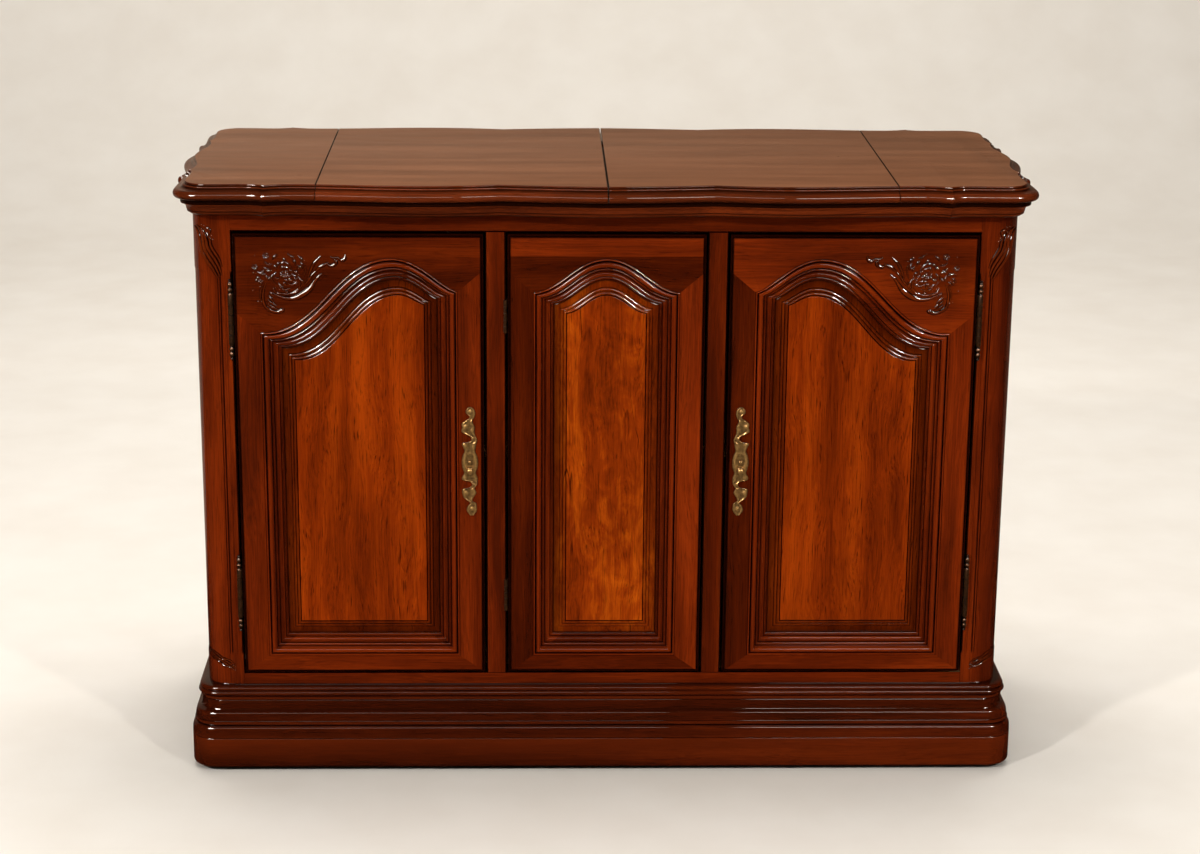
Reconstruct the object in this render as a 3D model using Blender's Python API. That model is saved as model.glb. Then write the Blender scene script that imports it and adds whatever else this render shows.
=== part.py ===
"""Flip top server: a low cabinet with three arched doors and a serpentine top whose two leaves flip outward.

Metres, +Z up. The front faces -Y, X runs along the width, and the origin is on the floor under the middle.
"""
import math

import bmesh
import bpy
from mathutils import Matrix

# Overall sizes
TOP_WIDTH = 1.276
TOP_DEPTH = 0.530
HEIGHT = 0.9135

# Clearances
FIT = 0.0003
DOOR_GAP = 0.003
HINGE_SEAM = 0.0012
MIDDLE_SEAM = 0.002
LEAF_CLEAR = 0.0005

# Top: layers, overhang and outline
LEAF_THICK = 0.0222
SUB_TOP_THICK = 0.0244
LAMINATE_THICK = 0.0012
LAMINATE_MARGIN = 0.030
SIDE_OVERHANG = 0.033
FRONT_OVERHANG = 0.051
SEAM_INSET = 0.2176
FACE_INSET = 0.017
BOW_HALF = 0.157
BOW_RISE = 0.014
SWELL_X = 0.272
SWELL_RISE = 0.012
CORNER_WIDTH = 0.141
CORNER_DEPTH = 0.139
FOOT_RUN = 0.042
BREAK_RISE = 0.010
BREAK_SLOPE = 0.0002
EAR_STEP = 0.003
EAR_SCOOP = 0.026
EAR_LOBE = 0.002
EAR_RADIUS = 0.040
EAR_SHRINK = 0.35
EAR_STEPS = 4
END_LOBE_RISE = 0.012
END_FOOT_RUN = 0.038
END_BREAK_RISE = 0.006

# Case
POST_WIDTH = 0.0572
POST_CORNER = 0.0365
CORNER_STEPS = 5
POST_LIFT = 0.004
REED_WIDTH = 0.012
REED_QUIRK = 0.0022
REED_EDGE = 0.0020
REED_ROUND = 0.0022
REED_FALL = 0.0008
REED_FOOT = 0.0465
REED_HEAD = 0.0843
REED_RUNOUT = 0.004
FRAME_THICK = 0.020
STILE_WIDTH = 0.0297
CENTRE_DOOR_WIDTH = 0.290
TOP_RAIL_HEIGHT = 0.0264
FLOOR_TOP_Z = 0.1536
FLOOR_THICK = 0.017
PANEL_THICK = 0.019
PANEL_INSET = 0.003
BACK_THICK = 0.012
PARTITION_THICK = 0.018

# Foot
PLINTH_LIFT = 0.008
PLINTH_TOP_Z = 0.0555
PLINTH_PROJECTION = 0.025
PLINTH_RADIUS = 0.060
BASE_TOP_Z = 0.1365
BASE_TOP_RADIUS = 0.046
PLINTH_EASE = 0.004

# Doors
DOOR_THICK = 0.022
DOOR_PROUD = 0.006
STICKING_WIDTH = 0.050
LIP_AT = 0.030
RABBET_AT = 0.022
PANEL_RIM_DEPTH = 0.013
PANEL_RIM_THICK = 0.006
DOOR_STILE_WIDTH = 0.0375
DOOR_BOTTOM_WIDTH = 0.027
DOOR_CROWN_WIDTH = 0.035
STICKING_RAIL_SHARE = 1.13
SIDE_PEAK_SHARE = 0.667
SIDE_FIELD_PEAK_SHARE = 0.805
SIDE_ARCH_DROP_OUTER = 0.112
SIDE_ARCH_DROP_INNER = 0.050
SIDE_FIELD_DROP_OUTER = 0.098
SIDE_FIELD_DROP_INNER = 0.014
CENTRE_ARCH_DROP = 0.051
CENTRE_FIELD_DROP = 0.027
OUTER_EASE = (0.435, -0.036, 0.425)
INNER_EASE = (0.270, 0.150, 0.417)
CENTRE_EASE = (0.380, 0.080, 0.410)
ARCH_STEPS = 8

# Door hinges and pulls
OUTER_BARREL_RADIUS = 0.0035
OUTER_BARREL_LENGTH = 0.076
OUTER_FINIAL = 0.023
OUTER_HINGE_INSETS = (0.1274, 0.1279)
CENTRE_BARREL_RADIUS = 0.0025
CENTRE_BARREL_LENGTH = 0.050
CENTRE_HINGE_INSETS = (0.1234, 0.1229)
HINGE_LEAF_THICK = 0.0010
HINGE_LEAF_WIDTH = 0.016
ARM_EASE = 0.0001
ARM_HALF = 0.0008
ARM_REACH = 0.003
ARM_LAP = 0.0002
PULL_UNIT = 0.001
PULL_DROP = 0.0038
PULL_SHIFT = 0.0022
PULL_THICK = 0.0025
KNOB_DROP = 0.013
KNOB_RADIUS = 0.0045
KNOB_REACH = 0.011

# Shelves
SHELF_THICK = 0.018
SHELF_DROP = 0.0168
SHELF_SIDE_GAP = 0.001
SHELF_END_GAP = 0.002
PIN_RADIUS = 0.0035
PIN_REACH = 0.009
PIN_SINK = 0.0007
PIN_OFFSET_Y = 0.120

# Leaf hinges: a barrel let into each edge of the seam, with a lug into a slot of the other barrel
BARREL_RADIUS = 0.0065
BARREL_DEPTH = 0.016
BARREL_DROP = 0.010
BARREL_Y = 0.150
LUG_THICK = 0.0026
LUG_OFFSET = 0.0021
LUG_REACH = 0.0035
LUG_HALF_HEIGHT = 0.0022
LUG_CLEAR = 0.0006
LUG_SWING = 0.0008

# Casters
CLEAT_WIDTH = 0.084
CLEAT_GAP = 0.010
WHEEL_RADIUS = 0.022
WHEEL_WIDTH = 0.018
TREAD_ROUND = 0.003
AXLE_RADIUS = 0.004
CASTER_TRAIL = 0.018
CASTER_INSET_X = 0.115
CASTER_INSET_Y = 0.0796
FORK_WALL = 0.0025
FORK_GAP = 0.0006
FORK_CROWN_HALF = 0.012
FORK_FOOT_HALF = 0.0084
NECK_RADIUS = 0.009
NECK_HEIGHT = 0.005
AXLE_HEAD = 0.0015
CASTER_HEAD_Z = 0.060

# Planes and edges that follow from the sizes above
SEAM_X = TOP_WIDTH / 2 - SEAM_INSET
BREAK_X = TOP_WIDTH / 2 - CORNER_WIDTH
FOOT_X = BREAK_X - FOOT_RUN
END_BREAK_Y = TOP_DEPTH / 2 - CORNER_DEPTH
END_VALLEY_Y = END_BREAK_Y - END_FOOT_RUN
CASE_X = TOP_WIDTH / 2 - SIDE_OVERHANG
CASE_Y = TOP_DEPTH / 2 - FRONT_OVERHANG
LEAF_BOTTOM_Z = HEIGHT - LEAF_THICK
SUB_TOP_Z = LEAF_BOTTOM_Z - FIT
CASE_TOP_Z = SUB_TOP_Z - SUB_TOP_THICK - FIT
OPENING_TOP_Z = CASE_TOP_Z - TOP_RAIL_HEIGHT
OPENING_X = CASE_X - POST_WIDTH
DOOR_BOTTOM_Z = FLOOR_TOP_Z + DOOR_GAP
DOOR_TOP_Z = OPENING_TOP_Z - DOOR_GAP
DOOR_MIDDLE_Z = (DOOR_BOTTOM_Z + DOOR_TOP_Z) / 2
DOOR_FACE_Y = -CASE_Y - DOOR_PROUD
CENTRE_DOOR_X = CENTRE_DOOR_WIDTH / 2
STILE_INNER_X = CENTRE_DOOR_X + DOOR_GAP
STILE_OUTER_X = STILE_INNER_X + STILE_WIDTH
SIDE_DOOR_INNER_X = STILE_OUTER_X + DOOR_GAP
SIDE_DOOR_OUTER_X = OPENING_X - DOOR_GAP
STILE_MIDDLE_X = (STILE_INNER_X + STILE_OUTER_X) / 2
FRAME_BACK_Y = -CASE_Y + FRAME_THICK
BACK_FRONT_Y = CASE_Y - PANEL_INSET - BACK_THICK
POST_BACK_Y = CASE_Y - POST_WIDTH
SIDE_WALL_X = CASE_X - PANEL_INSET - PANEL_THICK
OUTER_BARREL_X = OPENING_X + 0.0022
OUTER_BARREL_Y = -CASE_Y - OUTER_BARREL_RADIUS - FIT
CENTRE_BARREL_X = -(STILE_INNER_X + 0.0007)
CENTRE_BARREL_Y = -CASE_Y - CENTRE_BARREL_RADIUS - FIT
PULL_Z = DOOR_MIDDLE_Z - PULL_DROP
SHELF_Z = DOOR_MIDDLE_Z - SHELF_DROP
CASTER_X = CASE_X - CASTER_INSET_X
CASTER_Y = CASE_Y - CASTER_INSET_Y
REED_FOOT_Z = BASE_TOP_Z + REED_FOOT
REED_HEAD_Z = CASE_TOP_Z - REED_HEAD

# Finishes: colour, roughness, metallic
WOOD_DARK = ("mahogany_dark", (0.105, 0.022, 0.007), 0.30, 0.0)
WOOD_RED = ("mahogany_red", (0.170, 0.036, 0.009), 0.30, 0.0)
WOOD_TOP = ("walnut_top", (0.150, 0.058, 0.024), 0.28, 0.0)
WOOD_PANEL = ("walnut_panel", (0.260, 0.070, 0.016), 0.30, 0.0)
WOOD_PLAIN = ("plain_secondary_wood", (0.330, 0.190, 0.095), 0.60, 0.0)
LAMINATE = ("black_laminate", (0.012, 0.011, 0.010), 0.35, 0.0)
BRASS = ("antique_brass", (0.300, 0.200, 0.070), 0.42, 1.0)
STEEL = ("zinc_steel", (0.480, 0.480, 0.460), 0.40, 1.0)
RUBBER = ("black_rubber", (0.020, 0.020, 0.020), 0.70, 0.0)


def clear_scene():
    for item in list(bpy.data.objects):
        bpy.data.objects.remove(item, do_unlink=True)


def material(finish):
    name, colour, roughness, metallic = finish
    found = bpy.data.materials.get(name)
    if found:
        return found
    made = bpy.data.materials.new(name)
    made.use_nodes = True
    shader = made.node_tree.nodes["Principled BSDF"]
    shader.inputs["Base Color"].default_value = (*colour, 1.0)
    shader.inputs["Roughness"].default_value = roughness
    shader.inputs["Metallic"].default_value = metallic
    return made


def add_object(name, mesh_builder, finish, pivot=None, sharp=35.0):
    """Turns a bmesh in world coordinates into an object, with its origin on the pivot where one is given."""
    bmesh.ops.recalc_face_normals(mesh_builder, faces=mesh_builder.faces)
    if pivot:
        back = Matrix.Translation([-c for c in pivot])
        bmesh.ops.transform(mesh_builder, matrix=back, verts=mesh_builder.verts)
    mesh = bpy.data.meshes.new(name)
    mesh_builder.to_mesh(mesh)
    mesh_builder.free()
    mesh.shade_smooth()
    mesh.set_sharp_from_angle(angle=math.radians(sharp))
    mesh.materials.append(material(finish))
    made = bpy.data.objects.new(name, mesh)
    if pivot:
        made.location = pivot
    bpy.context.scene.collection.objects.link(made)
    return made


def box(x0, x1, y0, y1, z0, z1):
    made = bmesh.new()
    bmesh.ops.create_cube(made, size=1.0)
    for vert in made.verts:
        vert.co.x = x1 if vert.co.x > 0 else x0
        vert.co.y = y1 if vert.co.y > 0 else y0
        vert.co.z = z1 if vert.co.z > 0 else z0
    return made


def bridge(made, lower, upper):
    count = len(lower)
    for i in range(count):
        j = (i + 1) % count
        made.faces.new((lower[i], lower[j], upper[j], upper[i]))


def loft(rings):
    """A solid through rings of as many points each, closed by a flat cap at both ends."""
    made = bmesh.new()
    loops = [[made.verts.new(point) for point in ring] for ring in rings]
    for lower, upper in zip(loops, loops[1:]):
        bridge(made, lower, upper)
    made.faces.new(loops[0])
    made.faces.new(loops[-1])
    return made


def hoop(rings):
    """A solid round a hole: the last ring joins the first one again."""
    made = bmesh.new()
    loops = [[made.verts.new(point) for point in ring] for ring in rings]
    for lower, upper in zip(loops, loops[1:] + loops[:1]):
        bridge(made, lower, upper)
    return made


def prism(outline, z0, z1):
    return loft([[(x, y, z) for x, y in outline] for z in (z0, z1)])


def turned(profile, segments=12):
    """A body turned round Z from (radius, height) pairs that run from its top to its foot."""
    angles = [2 * math.pi * i / segments for i in range(segments)]
    circle = [(math.cos(angle), math.sin(angle)) for angle in angles]
    return loft([[(radius * x, radius * y, height) for x, y in circle] for radius, height in profile])


def move(builder, x=0.0, y=0.0, z=0.0, turn=None):
    if turn:
        angle, axis = turn
        bmesh.ops.transform(builder, matrix=Matrix.Rotation(angle, 4, axis), verts=builder.verts)
    bmesh.ops.transform(builder, matrix=Matrix.Translation((x, y, z)), verts=builder.verts)
    return builder


def combine(target, operation, builder, name):
    """Keeps a Boolean on the target, with its second body as a hidden guide."""
    bmesh.ops.recalc_face_normals(builder, faces=builder.faces)
    mesh = bpy.data.meshes.new(name)
    builder.to_mesh(mesh)
    builder.free()
    guide = bpy.data.objects.new(name, mesh)
    guide.hide_render = True
    guide.display_type = "WIRE"
    bpy.context.scene.collection.objects.link(guide)
    modifier = target.modifiers.new(name, "BOOLEAN")
    modifier.operation = operation
    modifier.solver = "EXACT"
    modifier.object = guide


def cut(target, builder, name):
    combine(target, "DIFFERENCE", builder, name)


def assemble(name, builders, finish, pivot=None):
    """One body from several overlapping ones."""
    made = add_object(name, builders[0], finish, pivot)
    for number, builder in enumerate(builders[1:], 1):
        combine(made, "UNION", builder, "%s_body_%d" % (name, number))
    return made


def mirrored(points):
    """The same outline on the other side of the middle, run so that it keeps its sense."""
    return [(-x, y) for x, y in reversed(points)]


def arc(cx, cy, radius, start, end, steps):
    """Points on an arc, angles in degrees."""
    angles = [math.radians(start + (end - start) * i / steps) for i in range(steps + 1)]
    return [(cx + radius * math.cos(a), cy + radius * math.sin(a)) for a in angles]


def rounded_rectangle(half_x, half_y, radius):
    points = []
    for cx, cy, start in ((1, -1, -90), (1, 1, 0), (-1, 1, 90), (-1, -1, 180)):
        points += arc(cx * (half_x - radius), cy * (half_y - radius), radius, start, start + 90, CORNER_STEPS)
    return points


def steps_between(start, end, count):
    return [start + (end - start) * i / count for i in range(count)]


# The serpentine outline of the top
def front_wave(x):
    """How far the front edge stands forward of its valleys, from the middle out to the break."""
    x = abs(x)
    if x <= BOW_HALF:
        return BOW_RISE * (1 - (x / BOW_HALF) ** 1.5)
    if x <= SWELL_X:
        return SWELL_RISE * (1 - ((SWELL_X - x) / (SWELL_X - BOW_HALF)) ** 2)
    if x <= FOOT_X:
        return SWELL_RISE * (0.5 + 0.5 * math.cos(math.pi * (x - SWELL_X) / (FOOT_X - SWELL_X)))
    return BREAK_RISE * ((x - FOOT_X) / (BREAK_X - FOOT_X)) ** 2


def end_wave(y):
    """How far the end's edge stands out from its valleys, from the middle of the end to its break."""
    y = abs(y)
    if y <= END_VALLEY_Y:
        return END_LOBE_RISE * (0.5 + 0.5 * math.cos(math.pi * y / END_VALLEY_Y))
    return END_BREAK_RISE * ((y - END_VALLEY_Y) / (END_BREAK_Y - END_VALLEY_Y)) ** 2


def front_run(x0, x1, inset):
    """Front edge points from x0 out to x1, both right of the middle, and short of the break."""
    stops = [x0] + [x for x in (BOW_HALF, SWELL_X, FOOT_X) if x0 < x < x1] + [x1]
    counts = {BOW_HALF: 5, SWELL_X: 4, FOOT_X: 3, BREAK_X: 2}
    points = []
    valley = TOP_DEPTH / 2 - BOW_RISE - inset
    for start, end in zip(stops, stops[1:]):
        count = next(n for limit, n in counts.items() if end <= limit + 1e-9)
        points += [(x, -valley - front_wave(x)) for x in steps_between(start, end, count)]
    points.append((x1, -valley - front_wave(x1)))
    return points


def ear_side(start, rise):
    """Side of an ear from its break: places along it, and how far each stands out from the valleys."""
    return ((start, rise - EAR_STEP), (start + EAR_SCOOP / 2, (rise - EAR_STEP) / 4), (start + EAR_SCOOP, 0.0))


def corner_run(inset):
    """From the front break round the ear to the middle of the right end."""
    valley_x = TOP_WIDTH / 2 - END_LOBE_RISE - inset
    valley_y = TOP_DEPTH / 2 - BOW_RISE - inset
    radius = EAR_RADIUS - inset * EAR_SHRINK
    points = [(x, -valley_y - out) for x, out in ear_side(BREAK_X, BREAK_RISE)]
    points += arc(valley_x + EAR_LOBE - radius, radius - valley_y - EAR_LOBE, radius, -90, 0, EAR_STEPS)
    points += [(valley_x + out, -y) for y, out in reversed(ear_side(END_BREAK_Y + BREAK_SLOPE, END_BREAK_RISE))]
    ys = [END_BREAK_Y, (END_BREAK_Y + END_VALLEY_Y) / 2] + [END_VALLEY_Y * (1 - i / 4) for i in range(5)]
    points += [(valley_x + end_wave(y), -y) for y in ys]
    return points


def front_right(x0, inset):
    """From x0 on the front edge to the middle of the right end, where x0 is right of the middle."""
    return front_run(x0, BREAK_X - BREAK_SLOPE, inset) + corner_run(inset)


def turned_back(points):
    """Runs on round the rear: the same points mirrored front to back, without the shared one at y = 0."""
    back = [(x, -y) for x, y in reversed(points)]
    return [p for p in back if abs(p[1]) > 1e-9]


def end_outline(inset):
    """The right fixed end, from its seam round the corner and back to the seam."""
    run = front_right(SEAM_X + HINGE_SEAM / 2, inset)
    return run + turned_back(run)


def leaf_outline(inset):
    """The right leaf, between the middle seam and its hinge seam."""
    run = front_run(MIDDLE_SEAM / 2, SEAM_X - HINGE_SEAM / 2, inset)
    return run + turned_back(run)


def full_outline(inset):
    """The whole top, all round."""
    right = front_right(0.0, inset)
    right = right + turned_back(right)
    left = [(-x, y) for x, y in reversed(right)][1:-1]
    return right + left


# Edge of the leaves and ends, from the flat face down: inset from the outermost line, and drop
LEAF_EDGE = ((FACE_INSET, 0.0), (0.0140, 0.0038), (0.0118, 0.0052), (0.0050, 0.0082), (0.0, 0.0156),
             (0.0016, 0.0197), (0.0058, LEAF_THICK))
# Edge of the sub top, from its upper side down
SUB_TOP_EDGE = ((0.0090, 0.0), (0.0070, 0.0030), (0.0090, 0.0065), (0.0160, 0.0140), (0.0185, 0.0185),
                (0.0220, SUB_TOP_THICK))
# Base moulding, from the plinth board up: projection beyond the case, and height above the plinth board
BASE_EDGE = ((PLINTH_PROJECTION, 0.0), (PLINTH_PROJECTION, 0.0090), (0.0230, 0.0150), (0.0205, 0.0182),
             (0.0205, 0.0220), (0.0222, 0.0255), (0.0215, 0.0290), (0.0150, 0.0340), (0.0110, 0.0430),
             (0.0100, 0.0550), (0.0085, 0.0650), (0.0135, 0.0690), (0.0140, 0.0740), (0.0100, 0.0785),
             (0.0040, BASE_TOP_Z - PLINTH_TOP_Z - FIT))


def top_piece(name, outline, side, pivot=None):
    rings = []
    for inset, drop in LEAF_EDGE:
        points = outline(inset)
        rings.append([(side * x, y, HEIGHT - drop) for x, y in points])
    return add_object(name, loft(rings), WOOD_TOP, pivot)


def leaf_pivot(side):
    return (side * SEAM_X, 0.0, HEIGHT + LEAF_CLEAR)


def barrel_cylinder(side, y, inward, ease):
    """The round body of a barrel, or with ease its bore. inward is 1 in an end and -1 in a leaf."""
    sense = side * inward
    face = SEAM_X * side + sense * (HINGE_SEAM / 2 - ease)
    body = turned(((BARREL_RADIUS + ease, BARREL_DEPTH + ease * 2), (BARREL_RADIUS + ease, 0.0)))
    return move(body, face, y, HEIGHT - BARREL_DROP, turn=(math.radians(90 * sense), "Y"))


def barrel_lug(side, y, inward, ease, swing):
    """The lug of a barrel, or with ease the slot that takes it. It starts inside its own barrel."""
    sense = side * inward
    root = SEAM_X * side + sense * (HINGE_SEAM / 2 + LUG_REACH - ease * 2)
    tip = SEAM_X * side - sense * (HINGE_SEAM / 2 + LUG_REACH + ease)
    middle = y + inward * LUG_OFFSET
    half = LUG_THICK / 2 + ease
    z = HEIGHT - BARREL_DROP
    low, high = z - LUG_HALF_HEIGHT - ease - swing, z + LUG_HALF_HEIGHT + ease
    return box(*sorted((root, tip)), middle - half, middle + half, low, high)


def leaf_hinges():
    """Concealed barrels, two pairs to each leaf."""
    for side, word in ((-1, "left"), (1, "right")):
        for y, place in ((-BARREL_Y, "front"), (BARREL_Y, "rear")):
            for inward, where in ((1, "end"), (-1, "leaf")):
                name = "%s_%s_%s_barrel" % (word, place, where)
                bodies = [barrel_cylinder(side, y, inward, 0.0), barrel_lug(side, y, inward, 0.0, 0.0)]
                made = assemble(name, bodies, STEEL, leaf_pivot(side) if inward < 0 else None)
                cut(made, barrel_lug(side, y, -inward, LUG_CLEAR, LUG_SWING), name + "_slot")


def top():
    for side, word in ((-1, "left"), (1, "right")):
        end = top_piece(word + "_top_end", end_outline, side)
        leaf = top_piece(word + "_leaf", leaf_outline, side, leaf_pivot(side))
        for y, place in ((-BARREL_Y, "front"), (BARREL_Y, "rear")):
            cut(end, barrel_cylinder(side, y, 1, FIT), "%s_%s_end_bore" % (word, place))
            cut(leaf, barrel_cylinder(side, y, -1, FIT), "%s_%s_leaf_bore" % (word, place))
    rings = []
    for inset, drop in SUB_TOP_EDGE:
        rings.append([(x, y, SUB_TOP_Z - drop) for x, y in full_outline(inset)])
    sub_top = add_object("sub_top", loft(rings), WOOD_DARK)
    half_x = SEAM_X - LAMINATE_MARGIN
    half_y = TOP_DEPTH / 2 - BOW_RISE - FACE_INSET - LAMINATE_MARGIN
    depth = LAMINATE_THICK + FIT
    pocket_x, pocket_y = half_x + FIT, half_y + FIT
    pocket = box(-pocket_x, pocket_x, -pocket_y, pocket_y, SUB_TOP_Z - depth, SUB_TOP_Z + depth)
    cut(sub_top, pocket, "laminate_pocket")
    sheet_z = SUB_TOP_Z - depth + FIT
    sheet = box(-half_x, half_x, -half_y, half_y, sheet_z, sheet_z + LAMINATE_THICK)
    add_object("serving_surface", sheet, LAMINATE)


def post_section(u_sign, v_sign, carved):
    """Section of a post as (x, y). u runs in from the outer side, v in from the front or rear face."""
    start = POST_CORNER
    far = start + REED_EDGE + REED_WIDTH
    quirk = REED_QUIRK * carved
    reed = [(POST_WIDTH, 0.0), (far, 0.0), (far - REED_ROUND / 2, quirk / 2), (far - REED_ROUND, 0.0),
            (start + REED_EDGE + REED_ROUND, 0.0), (start + REED_EDGE, quirk)]
    column = arc(start, start, start - REED_FALL * carved, -90, -180, CORNER_STEPS)
    points = reed + column + [(v, u) for u, v in reversed(reed)] + [(POST_WIDTH, POST_WIDTH)]
    return [(u_sign * (CASE_X - u), v_sign * (CASE_Y - v)) for u, v in points]


def post(u_sign, v_sign):
    levels = ((PLINTH_LIFT + POST_LIFT, 0.0), (REED_FOOT_Z, 0.0), (REED_FOOT_Z + REED_RUNOUT, 1.0),
              (REED_HEAD_Z - REED_RUNOUT, 1.0), (REED_HEAD_Z, 0.0), (CASE_TOP_Z, 0.0))
    return loft([[(x, y, z) for x, y in post_section(u_sign, v_sign, carved)] for z, carved in levels])


def case():
    for u_sign, word in ((-1, "left"), (1, "right")):
        add_object("front_%s_post" % word, post(u_sign, -1), WOOD_RED)
        add_object("rear_%s_post" % word, post(u_sign, 1), WOOD_RED)

    inner = OPENING_X - FIT
    foot = PLINTH_LIFT + POST_LIFT
    add_object("top_rail", box(-inner, inner, -CASE_Y, FRAME_BACK_Y, OPENING_TOP_Z, CASE_TOP_Z), WOOD_DARK)
    for sign, word in ((-1, "left"), (1, "right")):
        xs = sorted((sign * STILE_INNER_X, sign * STILE_OUTER_X))
        stile = box(*xs, -CASE_Y, FRAME_BACK_Y, FLOOR_TOP_Z + FIT, OPENING_TOP_Z - FIT)
        add_object(word + "_stile", stile, WOOD_DARK)

        panel_y = POST_BACK_Y - FIT
        xs = sorted((sign * SIDE_WALL_X, sign * (SIDE_WALL_X + PANEL_THICK)))
        add_object(word + "_side_panel", box(*xs, -panel_y, panel_y, foot, CASE_TOP_Z), WOOD_RED)

        xs = [sign * STILE_MIDDLE_X - PARTITION_THICK / 2, sign * STILE_MIDDLE_X + PARTITION_THICK / 2]
        wall = box(*xs, FRAME_BACK_Y + FIT, BACK_FRONT_Y - FIT, FLOOR_TOP_Z + FIT, CASE_TOP_Z)
        add_object(word + "_partition", wall, WOOD_PLAIN)
    back = box(-inner, inner, BACK_FRONT_Y, BACK_FRONT_Y + BACK_THICK, foot, CASE_TOP_Z)
    add_object("back_panel", back, WOOD_RED)
    case_floor()


def case_floor():
    """The floor with its front rail, notched round the posts, and a caster cleat along each side under it."""
    x_wall = SIDE_WALL_X - FIT
    x_post = OPENING_X - FIT
    y_front = -CASE_Y
    y_post = POST_BACK_Y - FIT
    y_back = BACK_FRONT_Y - FIT
    right = [(x_post, y_front), (x_post, -y_post), (x_wall, -y_post), (x_wall, y_post), (x_post, y_post),
             (x_post, y_back)]
    under = FLOOR_TOP_Z - FLOOR_THICK
    bodies = [prism(right + mirrored(right), under, FLOOR_TOP_Z)]
    inside = under + FLOOR_THICK / 2
    bodies.append(box(-x_post, x_post, y_front, FRAME_BACK_Y, PLINTH_LIFT + POST_LIFT, inside))
    half = CLEAT_WIDTH / 2
    for sign in (-1, 1):
        x = sign * CASTER_X
        ys = (FRAME_BACK_Y + CLEAT_GAP, y_back - CLEAT_GAP)
        bodies.append(box(x - half, x + half, *ys, CASTER_HEAD_Z + FIT, inside))
    assemble("case_floor", bodies, WOOD_DARK)


def base_moulding():
    rings = []
    for projection, height in BASE_EDGE:
        share = height / (BASE_TOP_Z - PLINTH_TOP_Z)
        radius = PLINTH_RADIUS + (BASE_TOP_RADIUS - PLINTH_RADIUS) * share
        outline = rounded_rectangle(CASE_X + projection, CASE_Y + projection, radius)
        rings.append([(x, y, PLINTH_TOP_Z + FIT + height) for x, y in outline])
    inner = rounded_rectangle(CASE_X + FIT, CASE_Y + FIT, POST_CORNER + FIT)
    rings.append([(x, y, BASE_TOP_Z) for x, y in inner])
    rings.append([(x, y, PLINTH_TOP_Z + FIT) for x, y in inner])
    add_object("base_moulding", hoop(rings), WOOD_DARK)


def plinth():
    """Four boards, mitred and glued at their rounded corners into one frame."""
    half_x, half_y = CASE_X + PLINTH_PROJECTION, CASE_Y + PLINTH_PROJECTION
    ease = PLINTH_EASE / 2
    outer = rounded_rectangle(half_x, half_y, PLINTH_RADIUS)
    eased = rounded_rectangle(half_x - ease, half_y - ease, PLINTH_RADIUS - ease)
    inner = rounded_rectangle(CASE_X + FIT, CASE_Y + FIT, POST_CORNER + FIT)
    levels = ((outer, PLINTH_TOP_Z), (outer, PLINTH_LIFT + PLINTH_EASE), (eased, PLINTH_LIFT),
              (inner, PLINTH_LIFT), (inner, PLINTH_TOP_Z))
    add_object("plinth_frame", hoop([[(x, y, z) for x, y in loop] for loop, z in levels]), WOOD_DARK)


# Doors
def bezier(p0, p1, p2, p3, steps):
    points = []
    for i in range(steps):
        t = i / steps
        a, b, c, d = (1 - t) ** 3, 3 * t * (1 - t) ** 2, 3 * t * t * (1 - t), t ** 3
        points.append(tuple(a * p0[k] + b * p1[k] + c * p2[k] + d * p3[k] for k in (0, 1)))
    return points


def ogee(x, spring, peak, ease):
    """An S curve from a spring up to the peak. ease gives its handles as shares of its run and its rise."""
    px, pz = peak
    near, lift, far = ease
    run, rise = x - px, pz - spring
    first, second = (x - run * near, spring + rise * lift), (px + run * far, pz)
    return bezier((x, spring), first, second, (px, pz), ARCH_STEPS)


def arch_outline(x_left, x_right, bottom, peak, springs, eases):
    """An opening with an ogee arch: its two feet, then the right spring, over the peak, to the left spring."""
    right = ogee(x_right, springs[1], peak, eases[1])
    left = ogee(x_left, springs[0], peak, eases[0])
    return [(x_left, bottom), (x_right, bottom)] + right + [peak] + list(reversed(left))


class Door:
    """Outlines of one door, all as (x, z), and the lofts between its outer edge, its moulding and its field."""

    def __init__(self, x0, x1, peak_share, field_peak_share, drops, field_drops, eases):
        self.x0, self.x1 = x0, x1
        left, right = x0 + DOOR_STILE_WIDTH, x1 - DOOR_STILE_WIDTH
        bottom = DOOR_BOTTOM_Z + DOOR_BOTTOM_WIDTH
        peak = (left + (right - left) * peak_share, DOOR_TOP_Z - DOOR_CROWN_WIDTH)
        self.mould = arch_outline(left, right, bottom, peak, [peak[1] - drop for drop in drops], eases)
        left, right = left + STICKING_WIDTH, right - STICKING_WIDTH
        bottom += STICKING_WIDTH * STICKING_RAIL_SHARE
        peak = (left + (right - left) * field_peak_share, peak[1] - STICKING_WIDTH * STICKING_RAIL_SHARE)
        self.field = arch_outline(left, right, bottom, peak, [peak[1] - drop for drop in field_drops], eases)

    def between(self, distance):
        """The outline that lies the given distance in from the moulding's outer line."""
        share = distance / STICKING_WIDTH
        pairs = zip(self.mould, self.field)
        return [(a[0] + (b[0] - a[0]) * share, a[1] + (b[1] - a[1]) * share) for a, b in pairs]

    def edge(self, inset):
        """The door's outer rectangle, with a point over each point of the arch."""
        x0, x1 = self.x0 + inset, self.x1 - inset
        foot, head = DOOR_BOTTOM_Z + inset, DOOR_TOP_Z - inset
        arch = self.mould[2:]
        right, left = arch[0][0], arch[-1][0]
        top_run = [(x1 + (x - right) / (left - right) * (x0 - x1), head) for x, z in arch]
        return [(x0, foot), (x1, foot)] + top_run


# Door edge, from the back to the face: inset, depth from the face
DOOR_EDGE = ((0.0, DOOR_THICK), (0.0, 0.0048), (0.0030, 0.0026), (0.0034, 0.0))
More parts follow.
